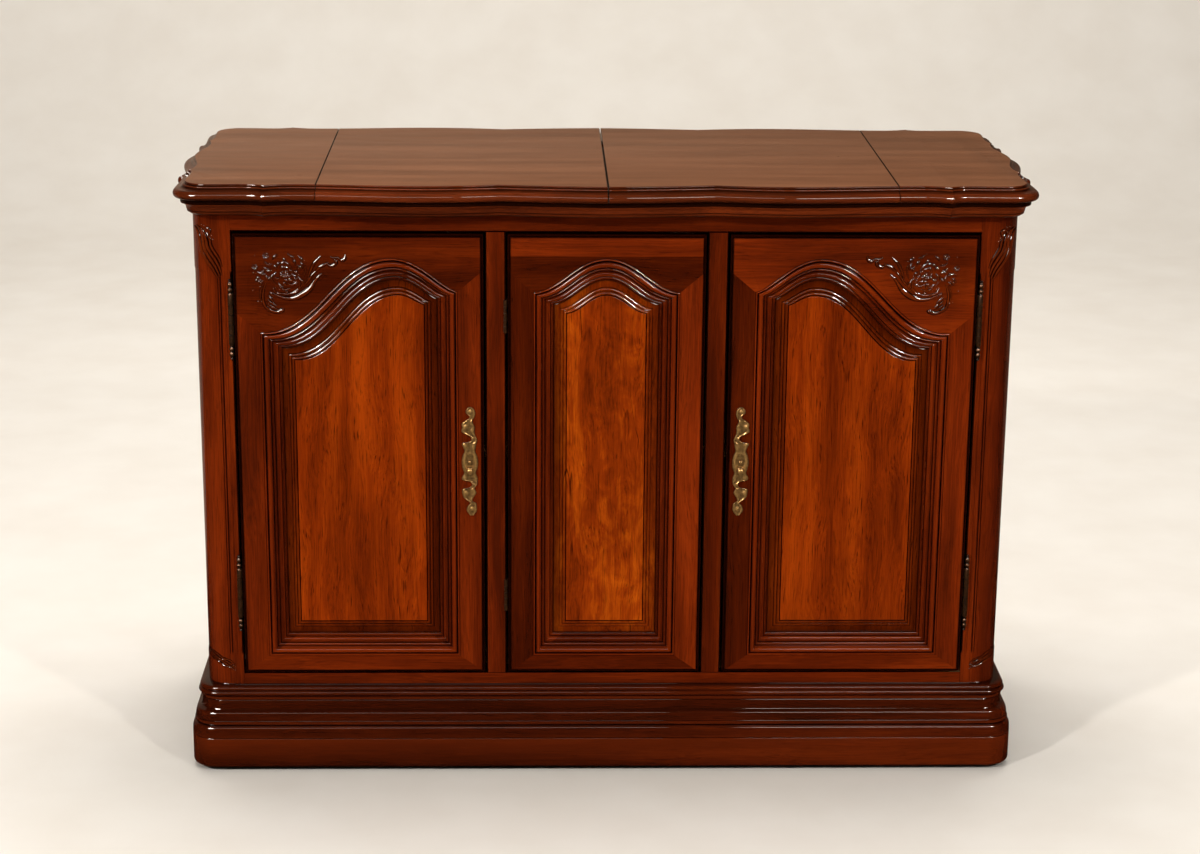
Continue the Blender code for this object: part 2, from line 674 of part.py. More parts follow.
# Moulding of the frame, from its outer line inward: distance, depth from the door's face
STICKING = ((0.0, 0.0), (0.0010, -0.0020), (0.0034, -0.0026), (0.0060, 0.0), (0.0115, 0.0036),
            (0.0135, 0.0030), (0.0165, 0.0054), (0.0225, 0.0082), (0.0258, 0.0070), (LIP_AT, 0.0100))
# Raised panel, from its rim inward
PANEL_RISE = ((LIP_AT + FIT, PANEL_RIM_DEPTH + FIT), (LIP_AT + FIT, 0.0102), (0.0400, 0.0096), (0.0420, 0.0070),
              (0.0455, 0.0056), (0.0480, 0.0030), (0.0486, 0.0038), (STICKING_WIDTH, 0.0024))


def at_depth(outline, depth):
    return [(x, DOOR_FACE_Y + depth, z) for x, z in outline]


def door(word, shape, pivot, frame_finish, panel_finish):
    rings = [at_depth(shape.edge(inset), depth) for inset, depth in DOOR_EDGE]
    rings += [at_depth(shape.between(distance), depth) for distance, depth in STICKING]
    rings.append(at_depth(shape.between(LIP_AT), PANEL_RIM_DEPTH))
    rings.append(at_depth(shape.between(RABBET_AT), PANEL_RIM_DEPTH))
    rings.append(at_depth(shape.between(RABBET_AT), DOOR_THICK))
    add_object(word + "_door_frame", hoop(rings), frame_finish, pivot)

    rim = shape.between(RABBET_AT + FIT)
    rings = [at_depth(rim, PANEL_RIM_DEPTH + FIT + PANEL_RIM_THICK), at_depth(rim, PANEL_RIM_DEPTH + FIT)]
    rings += [at_depth(shape.between(distance), depth) for distance, depth in PANEL_RISE]
    add_object(word + "_door_panel", loft(rings), panel_finish, pivot)


def side_door(sign):
    """Its arch peaks nearer the middle of the piece, and falls further on its hinge side."""
    x0, x1 = sorted((sign * SIDE_DOOR_INNER_X, sign * SIDE_DOOR_OUTER_X))
    shares = [share if sign < 0 else 1 - share for share in (SIDE_PEAK_SHARE, SIDE_FIELD_PEAK_SHARE)]
    drops = (SIDE_ARCH_DROP_OUTER, SIDE_ARCH_DROP_INNER)
    field_drops = (SIDE_FIELD_DROP_OUTER, SIDE_FIELD_DROP_INNER)
    eases = (OUTER_EASE, INNER_EASE)
    return Door(x0, x1, *shares, drops[::-sign], field_drops[::-sign], eases[::-sign])


def doors():
    for sign, word in ((-1, "left"), (1, "right")):
        door(word, side_door(sign), (sign * OUTER_BARREL_X, OUTER_BARREL_Y, 0.0), WOOD_RED, WOOD_PANEL)
    shape = Door(-CENTRE_DOOR_X, CENTRE_DOOR_X, 0.5, 0.5, [CENTRE_ARCH_DROP] * 2, [CENTRE_FIELD_DROP] * 2,
                 [CENTRE_EASE] * 2)
    door("centre", shape, (CENTRE_BARREL_X, CENTRE_BARREL_Y, 0.0), WOOD_RED, WOOD_PANEL)


# Door hinges
# Finial from its barrel out, as shares of the barrel's radius and of its own length
FINIAL = ((1.0, 0.0), (0.62, 0.12), (1.05, 0.30), (0.60, 0.44), (1.0, 0.64), (0.45, 0.84), (0.70, 0.92),
          (0.30, 1.0))


def knuckle(x, y, z0, z1, radius, finial=0.0, upward=True):
    """A stretch of barrel, with a bead-and-ring finial beyond one end where asked."""
    if not finial:
        return move(turned(((radius, z1), (radius, z0)), 8), x, y)
    tip = [(radius * r, h * finial) for r, h in FINIAL]
    if upward:
        profile = [(r, z1 + h) for r, h in reversed(tip)] + [(radius, z0)]
    else:
        profile = [(radius, z1)] + [(r, z0 - h) for r, h in tip]
    return move(turned(profile, 8), x, y)


def hinge_half(axis, barrel, height, edge, sense, on_case):
    """One half of a butt hinge: a plate in the gap, and its knuckles joined to the plate by short arms.

    edge is the face that the plate lies on, and sense the way from that face into the gap.
    """
    (x, y), (radius, length, finial) = axis, barrel
    fifth = length / 5
    low = height - length / 2
    near = edge + sense * FIT
    plate = sorted((near, near + sense * HINGE_LEAF_THICK))
    inside = (plate[0] + ARM_EASE, plate[1] - ARM_EASE)
    back = y + radius
    bodies = [box(*plate, back + FIT, -CASE_Y + HINGE_LEAF_WIDTH, low + FIT, low + length - FIT)]
    for number in range(0 if on_case else 1, 5, 2):
        z0, z1 = low + number * fifth + FIT / 2, low + (number + 1) * fifth - FIT / 2
        tip = finial if number in (0, 4) else 0.0
        bodies.append(knuckle(x, y, z0, z1, radius, tip, number == 4))
        z0, z1 = z0 + FIT, z1 - FIT
        bodies.append(box(*inside, y - ARM_HALF, back + ARM_REACH, z0, z1))
        if not on_case:
            xs = sorted((x, inside[0] if sense > 0 else inside[1]))
            xs = (xs[0] - ARM_LAP * (sense < 0), xs[1] + ARM_LAP * (sense > 0))
            bodies.append(box(*xs, y - ARM_HALF - ARM_EASE, y + ARM_HALF, z0 + ARM_EASE, z1 - ARM_EASE))
    return bodies


def hinges():
    outer = (OUTER_BARREL_RADIUS, OUTER_BARREL_LENGTH, OUTER_FINIAL)
    centre = (CENTRE_BARREL_RADIUS, CENTRE_BARREL_LENGTH, 0.0)
    left_axis, right_axis = (-OUTER_BARREL_X, OUTER_BARREL_Y), (OUTER_BARREL_X, OUTER_BARREL_Y)
    centre_axis = (CENTRE_BARREL_X, CENTRE_BARREL_Y)
    rows = (("left", left_axis, outer, OUTER_HINGE_INSETS, -OPENING_X, -SIDE_DOOR_OUTER_X, 1),
            ("right", right_axis, outer, OUTER_HINGE_INSETS, OPENING_X, SIDE_DOOR_OUTER_X, -1),
            ("centre", centre_axis, centre, CENTRE_HINGE_INSETS, -STILE_INNER_X, -CENTRE_DOOR_X, 1))
    for word, axis, barrel, (foot, head), post_edge, door_edge, inward in rows:
        for height, place in ((DOOR_BOTTOM_Z + foot, "lower"), (DOOR_TOP_Z - head, "upper")):
            name = "%s_%s_hinge" % (word, place)
            fixed = hinge_half(axis, barrel, height, post_edge, inward, True)
            assemble(name + "_case_leaf", fixed, BRASS)
            moving = hinge_half(axis, barrel, height, door_edge, -inward, False)
            assemble(name + "_door_leaf", moving, BRASS, (*axis, 0.0))


# Pulls
# Outline of a pull from its head down: height, its scalloped edge and its plain edge, in pull units
PULL_STATIONS = (
    (84, -1.5, 3.0), (80, -5.4, 6.8), (75, -5.4, 8.4), (71, -1.4, 7.6), (67, -1.0, 6.0), (63, -7.0, 3.8),
    (58, -12.0, 5.4), (53, -11.4, 7.4), (47, -12.6, 7.0), (43, -8.0, 7.4), (39, 0.4, 8.8), (34, 2.2, 10.8),
    (30, -2.0, 10.4), (28, -11.6, 9.8), (23, -10.4, 9.0), (16, -8.0, 7.8), (9, -10.8, 10.5), (0, -12.3, 12.3),
    (-9, -11.4, 11.6), (-18, -8.8, 9.0), (-25, -12.2, 11.2), (-29, -10.8, 11.4), (-31, -1.0, 11.2),
    (-36, 3.0, 10.4), (-41, -0.5, 7.0), (-43, -11.0, 6.8), (-49, -11.8, 9.2), (-57, -9.0, 4.6),
    (-62, -2.6, 3.6), (-65, 0.2, 8.6), (-70, -4.0, 10.0), (-77, -5.2, 9.8), (-84, 0.0, 5.0))


# Knob from its nose to its neck, as shares of its radius and its reach
KNOB = ((0.5, 1.0), (1.0, 0.8), (1.0, 0.55), (0.6, 0.35))


def pulls():
    """Cast plates, scalloped toward the door's panel, each with a small knob standing on it."""
    for sign, word in ((-1, "left"), (1, "right")):
        x = sign * (SIDE_DOOR_INNER_X + DOOR_STILE_WIDTH / 2 + PULL_SHIFT)
        face = DOOR_FACE_Y - FIT
        edges = [(z, scalloped) for z, scalloped, _ in PULL_STATIONS]
        edges += [(z, plain) for z, _, plain in reversed(PULL_STATIONS)]
        outline = [(x - sign * edge * PULL_UNIT, PULL_Z + z * PULL_UNIT) for z, edge in edges]
        plate = loft([[(px, y, pz) for px, pz in outline] for y in (face, face - PULL_THICK)])
        profile = [(KNOB_RADIUS * r, KNOB_REACH * h) for r, h in KNOB] + [(KNOB_RADIUS, -PULL_THICK / 2)]
        knob = move(turned(profile), x, face - PULL_THICK, PULL_Z - KNOB_DROP, turn=(math.radians(90), "X"))
        assemble(word + "_pull", [plate, knob], BRASS, (sign * OUTER_BARREL_X, OUTER_BARREL_Y, 0.0))


def shelves():
    """One shelf in each bay, with the four pins that it lies on."""
    half_y = POST_BACK_Y - SHELF_END_GAP
    wall = STILE_MIDDLE_X + PARTITION_THICK / 2
    inner = wall - PARTITION_THICK
    bays = (("left", -SIDE_WALL_X, -wall), ("centre", -inner, inner), ("right", wall, SIDE_WALL_X))
    for word, x0, x1 in bays:
        xs = (x0 + SHELF_SIDE_GAP, x1 - SHELF_SIDE_GAP)
        bodies = [box(*xs, -half_y, half_y, SHELF_Z, SHELF_Z + SHELF_THICK)]
        for x, sense in ((x0, 1), (x1, -1)):
            for y in (-PIN_OFFSET_Y, PIN_OFFSET_Y):
                pin = turned(((PIN_RADIUS, PIN_REACH), (PIN_RADIUS, 0.0)), 8)
                angle = math.radians(90 * sense)
                pin_z = SHELF_Z - PIN_RADIUS + PIN_SINK
                bodies.append(move(pin, x + sense * FIT, y, pin_z, turn=(angle, "Y")))
        assemble(word + "_shelf", bodies, WOOD_PLAIN)


# Casters
def wheel():
    half = WHEEL_WIDTH / 2
    bore = AXLE_RADIUS + FIT
    shoulder = WHEEL_RADIUS - TREAD_ROUND
    flank = half - TREAD_ROUND
    profile = ((bore, half), (shoulder, half), (WHEEL_RADIUS, flank), (WHEEL_RADIUS, -flank), (shoulder, -half),
               (bore, -half))
    segments = 16
    rings = []
    for radius, height in profile:
        ring = []
        for i in range(segments):
            angle = 2 * math.pi * (i + 0.5) / segments
            flat = radius / math.cos(math.pi / segments)
            ring.append((flat * math.cos(angle), flat * math.sin(angle), height))
        rings.append(ring)
    return hoop(rings)


def fork():
    """A yoke over the wheel: two cheeks that lean back from a flat crown."""
    inner = WHEEL_WIDTH / 2 + FORK_GAP
    outer = inner + FORK_WALL
    crown = CASTER_HEAD_Z - NECK_HEIGHT
    under = crown - FORK_WALL
    foot = WHEEL_RADIUS - FORK_FOOT_HALF
    section = [(-outer, foot), (-inner, foot), (-inner, under), (inner, under), (inner, foot), (outer, foot),
               (outer, crown), (-outer, crown)]

    def lean(z, sense):
        return CASTER_TRAIL + sense * FORK_FOOT_HALF if z == foot else sense * FORK_CROWN_HALF

    return loft([[(x, lean(z, sense), z) for x, z in section] for sense in (-1, 1)])


def casters():
    """Swivel casters under the cleats: a folded fork with its neck and axle, and a wheel on the axle."""
    neck_foot = CASTER_HEAD_Z - NECK_HEIGHT - FORK_WALL / 2
    reach = WHEEL_WIDTH / 2 + FORK_GAP + FORK_WALL + AXLE_HEAD
    corners = ((-1, -1, "front_left"), (1, -1, "front_right"), (-1, 1, "rear_left"), (1, 1, "rear_right"))
    for sx, sy, word in corners:
        x, y = sx * CASTER_X, sy * CASTER_Y
        neck = turned(((NECK_RADIUS, CASTER_HEAD_Z), (NECK_RADIUS, neck_foot)))
        axle = turned(((AXLE_RADIUS, reach), (AXLE_RADIUS, -reach)))
        bodies = [move(fork(), x, y), move(neck, x, y)]
        bodies.append(move(axle, x, y + CASTER_TRAIL, WHEEL_RADIUS, turn=(math.radians(90), "Y")))
        assemble(word + "_caster_fork", bodies, STEEL, (x, y, CASTER_HEAD_Z))
        tread = move(wheel(), x, y + CASTER_TRAIL, WHEEL_RADIUS, turn=(math.radians(90), "Y"))
        add_object(word + "_caster_wheel", tread, RUBBER, (x, y + CASTER_TRAIL, WHEEL_RADIUS))


def main():
    clear_scene()
    plinth()
    base_moulding()
    case()
    top()
    leaf_hinges()
    doors()
    hinges()
    pulls()
    shelves()
    casters()


main()
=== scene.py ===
"""Looks of the flip top server: its fine mouldings, carving, brass and woods, round the solids of the frame.

Metres, +Z up. The front faces -Y. Every mesh is made in the row's frame, with its object at the origin.
"""
import math

import bmesh
import bpy
from mathutils import Matrix, Vector


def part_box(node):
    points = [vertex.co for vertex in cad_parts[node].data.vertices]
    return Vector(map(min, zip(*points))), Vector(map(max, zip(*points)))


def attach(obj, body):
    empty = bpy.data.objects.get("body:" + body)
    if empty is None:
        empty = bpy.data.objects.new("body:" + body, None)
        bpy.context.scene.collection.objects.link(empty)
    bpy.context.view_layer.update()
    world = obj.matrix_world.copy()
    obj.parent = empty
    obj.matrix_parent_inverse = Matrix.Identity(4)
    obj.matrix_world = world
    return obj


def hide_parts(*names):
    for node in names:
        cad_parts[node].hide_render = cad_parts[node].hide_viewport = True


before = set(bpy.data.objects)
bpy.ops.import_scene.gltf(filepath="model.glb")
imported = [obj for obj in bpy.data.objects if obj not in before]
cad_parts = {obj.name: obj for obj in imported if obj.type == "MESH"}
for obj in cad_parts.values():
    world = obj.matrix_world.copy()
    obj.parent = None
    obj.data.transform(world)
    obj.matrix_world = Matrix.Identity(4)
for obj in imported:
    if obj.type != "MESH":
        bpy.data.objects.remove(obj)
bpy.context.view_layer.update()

# Planes taken from the solids
leaf_low, leaf_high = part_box("right_leaf")
end_low, end_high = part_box("right_top_end")
sub_top_low, sub_top_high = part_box("sub_top")
post_low, post_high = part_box("rear_right_post")
plinth_low, plinth_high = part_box("plinth_frame")
base_low, base_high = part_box("base_moulding")
TOP_X, TOP_Y, HEIGHT, LEAF_BOTTOM = end_high.x, leaf_high.y, leaf_high.z, leaf_low.z
HINGE_SEAM = end_low.x - leaf_high.x
SEAM_X, MIDDLE_SEAM = leaf_high.x + HINGE_SEAM / 2, leaf_low.x * 2
SUB_TOP_Z, SUB_TOP_THICK = sub_top_high.z, sub_top_high.z - sub_top_low.z
CASE_X, CASE_Y, CASE_TOP, POST_FOOT = post_high.x, post_high.y, post_high.z, post_low.z
PLINTH_X, PLINTH_Y, PLINTH_LIFT, PLINTH_TOP = plinth_high.x, plinth_high.y, plinth_low.z, plinth_high.z
BASE_LOW, BASE_TOP = base_low.z, base_high.z
DOOR_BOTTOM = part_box("left_door_frame")[0].z
DOOR_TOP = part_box("left_door_frame")[1].z
# Gap between pieces that touch
FIT = 0.0003
DOOR_PROUD = 0.006
DOOR_THICK = 0.022
DOOR_FACE_Y = -CASE_Y - DOOR_PROUD


# Angle in degrees above which an edge shows as a sharp one
SHARP = 32.0


# Meshes
def link(name, data):
    made = bpy.data.objects.new(name, data)
    bpy.context.scene.collection.objects.link(made)
    return made


# Each point darkens above 0, as glazing in recesses and as painted shade in gaps and under overhangs, and
# lightens below 0, as wear and as painted highlights on edges
def mesh_piece(name, verts, faces, glaze_and_shade=None, sharp=SHARP):
    """An object from points and faces. glaze has a value a point: above 0 in recesses, below 0 on edges."""
    mesh = bpy.data.meshes.new(name)
    mesh.from_pydata(verts, [], faces)
    layer = mesh.attributes.new("glaze_and_shade", "FLOAT", "POINT")
    layer.data.foreach_set("value", glaze_and_shade or [0.0] * len(verts))
    work = bmesh.new()
    work.from_mesh(mesh)
    bmesh.ops.recalc_face_normals(work, faces=work.faces)
    work.to_mesh(mesh)
    work.free()
    mesh.shade_smooth()
    mesh.set_sharp_from_angle(angle=math.radians(sharp))
    return link(name, mesh)


def skin(name, rings, closed=False, glaze_and_shade=None, sharp=SHARP):
    """A solid through rings of as many points each. closed joins the last ring to the first, round a hole.

    glaze is one value a ring, or one list a ring.
    """
    count = len(rings[0])
    verts = [point for ring in rings for point in ring]
    faces = []
    spans = len(rings) if closed else len(rings) - 1
    for i in range(spans):
        low, high = i * count, (i + 1) % len(rings) * count
        for j in range(count):
            k = (j + 1) % count
            faces.append((low + j, low + k, high + k, high + j))
    if not closed:
        faces += [tuple(range(count)), tuple(range((len(rings) - 1) * count, len(rings) * count))]
    values = []
    for value in glaze_and_shade or [0.0] * len(rings):
        values += value if isinstance(value, list) else [value] * count
    return mesh_piece(name, verts, faces, values, sharp)


def dress(piece, body, materials, node=None):
    """Finishes a piece, hangs it on the body that it rides on, and hides the solid that it stands for, if
    given.
    """
    piece.data.materials.clear()
    for material in materials if isinstance(materials, tuple) else (materials,):
        piece.data.materials.append(material)
    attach(piece, body)
    if node:
        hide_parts(node)


def built(name, work):
    """An object from a bmesh, which is freed."""
    mesh = bpy.data.meshes.new(name)
    work.to_mesh(mesh)
    work.free()
    return link(name, mesh)


def merged(name, pieces):
    """Several pieces as one object."""
    work = bmesh.new()
    for item in pieces:
        work.from_mesh(item.data)
        bpy.data.objects.remove(item)
    return built(name, work)


def cut(piece, cutters):
    """Cuts bodies out of a piece for good."""
    for cutter in cutters:
        modifier = piece.modifiers.new("cut", "BOOLEAN")
        modifier.operation = "DIFFERENCE"
        modifier.solver = "EXACT"
        modifier.object = cutter
    shaped = bpy.data.meshes.new_from_object(piece.evaluated_get(bpy.context.evaluated_depsgraph_get()))
    piece.modifiers.clear()
    piece.data = shaped
    for cutter in cutters:
        bpy.data.objects.remove(cutter)


def box_piece(name, low, high, ease=0.0):
    """A block with its edges eased."""
    work = bmesh.new()
    bmesh.ops.create_cube(work, size=1.0)
    for vert in work.verts:
        for axis in range(3):
            vert.co[axis] = high[axis] if vert.co[axis] > 0 else low[axis]
    if ease:
        bmesh.ops.bevel(work, geom=list(work.edges), offset=ease, segments=3, profile=0.5, affect="EDGES")
    made = built(name, work)
    made.data.attributes.new("glaze_and_shade", "FLOAT", "POINT")
    made.data.shade_smooth()
    made.data.set_sharp_from_angle(angle=math.radians(SHARP))
    return made


def turned(name, rows, at, axis="Z", segments=32):
    """A body turned about an axis through a point, from rows of radius, height and, where set, glaze."""
    turn = {"X": Matrix.Rotation(math.pi / 2, 3, "Y"), "-Y": Matrix.Rotation(math.pi / 2, 3, "X"),
            "Z": Matrix.Identity(3)}[axis]
    rings = [[tuple(turn @ Vector((row[0] * math.cos(a), row[0] * math.sin(a), row[1])) + Vector(at))
              for a in around(segments)] for row in rows]
    return skin(name, rings, glaze_and_shade=[(*row, 0.0)[2] for row in rows])


def around(count):
    """Angles of a full turn."""
    return [2 * math.pi * i / count for i in range(count)]


def arc(cx, cy, radius, start, end, steps):
    angles = [math.radians(start + (end - start) * i / steps) for i in range(steps + 1)]
    return [(cx + radius * math.cos(a), cy + radius * math.sin(a)) for a in angles]


def curve(points, steps):
    """A smooth run through points of any size, with steps pieces between two of them."""
    padded = [points[0]] + list(points) + [points[-1]]
    out = []
    for p0, p1, p2, p3 in zip(padded, padded[1:], padded[2:], padded[3:]):
        for i in range(steps):
            t = i / steps
            out.append(tuple(0.5 * (2 * b + (c - a) * t + (2 * a - 5 * b + 4 * c - d) * t * t
                                    + (3 * b - a - 3 * c + d) * t ** 3)
                             for a, b, c, d in zip(p0, p1, p2, p3)))
    return out + [tuple(points[-1])]


def profile(start, *moves):
    """Points of a moulding with a glaze value each: (first, second, glaze).

    A move is a point, or ("out" or "in", point, steps) for a quarter of an ellipse, which starts out along
    the first coordinate or in along the second. A third number in a point is its glaze.
    """
    points = [(*start, 0.0)[:3]]
    for move in moves:
        kind, end, steps = move if isinstance(move[0], str) else ("to", move, 1)
        last = points[-1]
        for i in range(1, steps + 1):
            t = i / steps
            quarter = (math.sin(math.pi / 2 * t), 1 - math.cos(math.pi / 2 * t))
            shares = {"to": (t, t), "out": quarter, "in": quarter[::-1]}[kind] + (t,)
            points.append(tuple(a + (b - a) * share for a, b, share in zip(last, (*end, 0.0), shares)))
    return points


def glaze_and_shade_of(rows):
    return [glaze_and_shade for _, _, glaze_and_shade in rows]


def level(points, z, sign=1):
    """An outline at a height, mirrored where sign is -1."""
    return [(sign * x, y, z) for x, y in points]


# Materials
def step(operation, swapped=False):
    """A method that adds a math node for the number and another one."""
    def method(self, other=None):
        return self.nodes.math(operation, *((other, self) if swapped else (self, other)))
    return method


class Value:
    """A number from a shader node. Each step of arithmetic on it adds a math node."""

    __add__, __sub__, __rsub__ = step("ADD"), step("SUBTRACT"), step("SUBTRACT", True)
    __mul__, __abs__ = step("MULTIPLY"), step("ABSOLUTE")
    __lt__, __gt__ = step("LESS_THAN"), step("GREATER_THAN")

    def __init__(self, nodes, socket):
        self.nodes, self.socket = nodes, socket

    def held(self):
        """The last step's result, held between 0 and 1."""
        self.socket.node.use_clamp = True
        return self


class Nodes:
    """The node tree of a material or world, with short calls for the few node types that they use."""

    def __init__(self, owner, shader="Principled BSDF"):
        owner.use_nodes = True
        self.owner, self.tree = owner, owner.node_tree
        self.shader = self.tree.nodes[shader]

    def put(self, target, value):
        if isinstance(value, Value):
            value = value.socket
        if isinstance(value, bpy.types.NodeSocket):
            self.tree.links.new(value, target)
        elif value is not None:
            target.default_value = value

    def add(self, kind, inputs=(), **settings):
        node = self.tree.nodes.new(kind)
        for key, value in settings.items():
            setattr(node, key, value)
        for index, value in enumerate(inputs):
            self.put(node.inputs[index], value)
        return node

    def math(self, operation, a, b=None):
        return Value(self, self.add("ShaderNodeMath", (a, b), operation=operation).outputs[0])

    def fill(self, node, **values):
        for key, value in values.items():
            self.put(node.inputs[key.replace("_", " ")], value)
        return node

    def noise(self, vector, scale=1.0, detail=2.0, rough=0.5, distortion=0.0):
        node = self.fill(self.add("ShaderNodeTexNoise"), Vector=vector, Scale=scale, Detail=detail,
                         Roughness=rough, Distortion=distortion)
        return Value(self, node.outputs["Fac"])

    def vector(self, operation, a, b):
        return self.add("ShaderNodeVectorMath", (a, b), operation=operation).outputs[0]

    def joined(self, x, y, z):
        return self.add("ShaderNodeCombineXYZ", (x, y, z)).outputs[0]

    def ramp(self, value, stops):
        node = self.add("ShaderNodeValToRGB", (value,))
        elements = node.color_ramp.elements
        while len(elements) < len(stops):
            elements.new(0.5)
        for element, (position, colour) in zip(elements, stops):
            element.position = position
            element.color = (*colour, 1.0)
        return node.outputs[0]

    def mix(self, factor, a, b, blend="MIX"):
        node = self.add("ShaderNodeMix", data_type="RGBA", blend_type=blend)
        for index, value in ((0, factor), (6, a), (7, b)):
            self.put(node.inputs[index], (*value, 1.0) if isinstance(value, tuple) else value)
        return node.outputs[2]

    def shade(self, colour, tone):
        return self.mix(1.0, colour, self.joined(tone, tone, tone), "MULTIPLY")

    def point(self):
        return self.add("ShaderNodeTexCoord").outputs["Object"]

    def place(self):
        return [Value(self, socket) for socket in self.add("ShaderNodeSeparateXYZ", (self.point(),)).outputs]

    def glaze_and_shade(self):
        return Value(self, self.add("ShaderNodeAttribute", attribute_name="glaze_and_shade").outputs["Fac"])

    def glazed_and_shaded(self, glaze_and_shade, colour, dark, worn_and_lit):
        """The colour with the dark one above 0 (glazing, tarnish, painted shade) and the pale one below 0
        (wear, painted highlights).
        """
        colour = self.mix((glaze_and_shade * 1.0).held(), colour, dark)
        return self.mix((glaze_and_shade * -1.0).held(), colour, worn_and_lit)

    def bump(self, height, strength, distance):
        node = self.fill(self.add("ShaderNodeBump"), Strength=strength, Distance=distance, Height=height)
        self.set(Normal=node.outputs[0])

    def set(self, **values):
        self.fill(self.shader, **values)


def srgb(red, green, blue):
    """Linear colour from 0 to 255 values."""
    shares = [value / 255 for value in (red, green, blue)]
    return tuple(s / 12.92 if s < 0.04045 else ((s + 0.055) / 1.055) ** 2.4 for s in shares)


def times(colour, share):
    return tuple(min(1.0, c * share) for c in colour)


ORDER = {"x": (0, 1, 2), "y": (1, 0, 2), "z": (2, 0, 1)}


def grain_vector(n, along, seed):
    """Object coordinates as (along the grain, across it, into it), moved by a seed so that boards differ."""
    place = n.place()
    arranged = n.joined(*[place[i] for i in ORDER[along]])
    return n.vector("ADD", arranged, (seed * 1.7, seed * 0.61, seed * 0.37))


def mitre(n, half_x, half_y):
    """1 where a point lies nearer to the two ends of a frame round the origin than to its front and back."""
    x, y, _ = n.place()
    return half_x - abs(x) < half_y - abs(y)


def door_mitre(n, outer, corners, slope):
    """1 on the stiles of a door, 0 on its rails. The head joints run out and up from the arch's corners."""
    x, _, z = n.place()
    x0, x1, z0 = outer
    foot = z - z0 > n.math("MINIMUM", x - x0, x1 - x) * slope[0]
    left, right = [z - cz < (x - cx) * (sense * slope[1]) for sense, (cx, cz) in zip((-1, 1), corners)]
    side = x > (x0 + x1) / 2
    return foot * (right * side + left * (1.0 - side))


class Wood:
    """Colours and figure of one wood under its finish."""

    def __init__(self, dark, middle, light, figure=1.0, flecks=0.45, burl=0.0, veins=0.0, patches=0.34,
                 gloss=0.26, coat=1.0, shine=0.03, blur=0.03):
        self.dark, self.middle, self.light = srgb(*dark), srgb(*middle), srgb(*light)
        self.figure, self.flecks, self.burl, self.veins, self.patches = figure, flecks, burl, veins, patches
        self.gloss, self.coat, self.shine, self.blur = gloss, coat, shine, blur


# Half width of the lines of painted shade along door openings, and a height between the rails of a door
GAP_SHADE_HALF, DOOR_MIDDLE_Z = 0.0024, 0.5


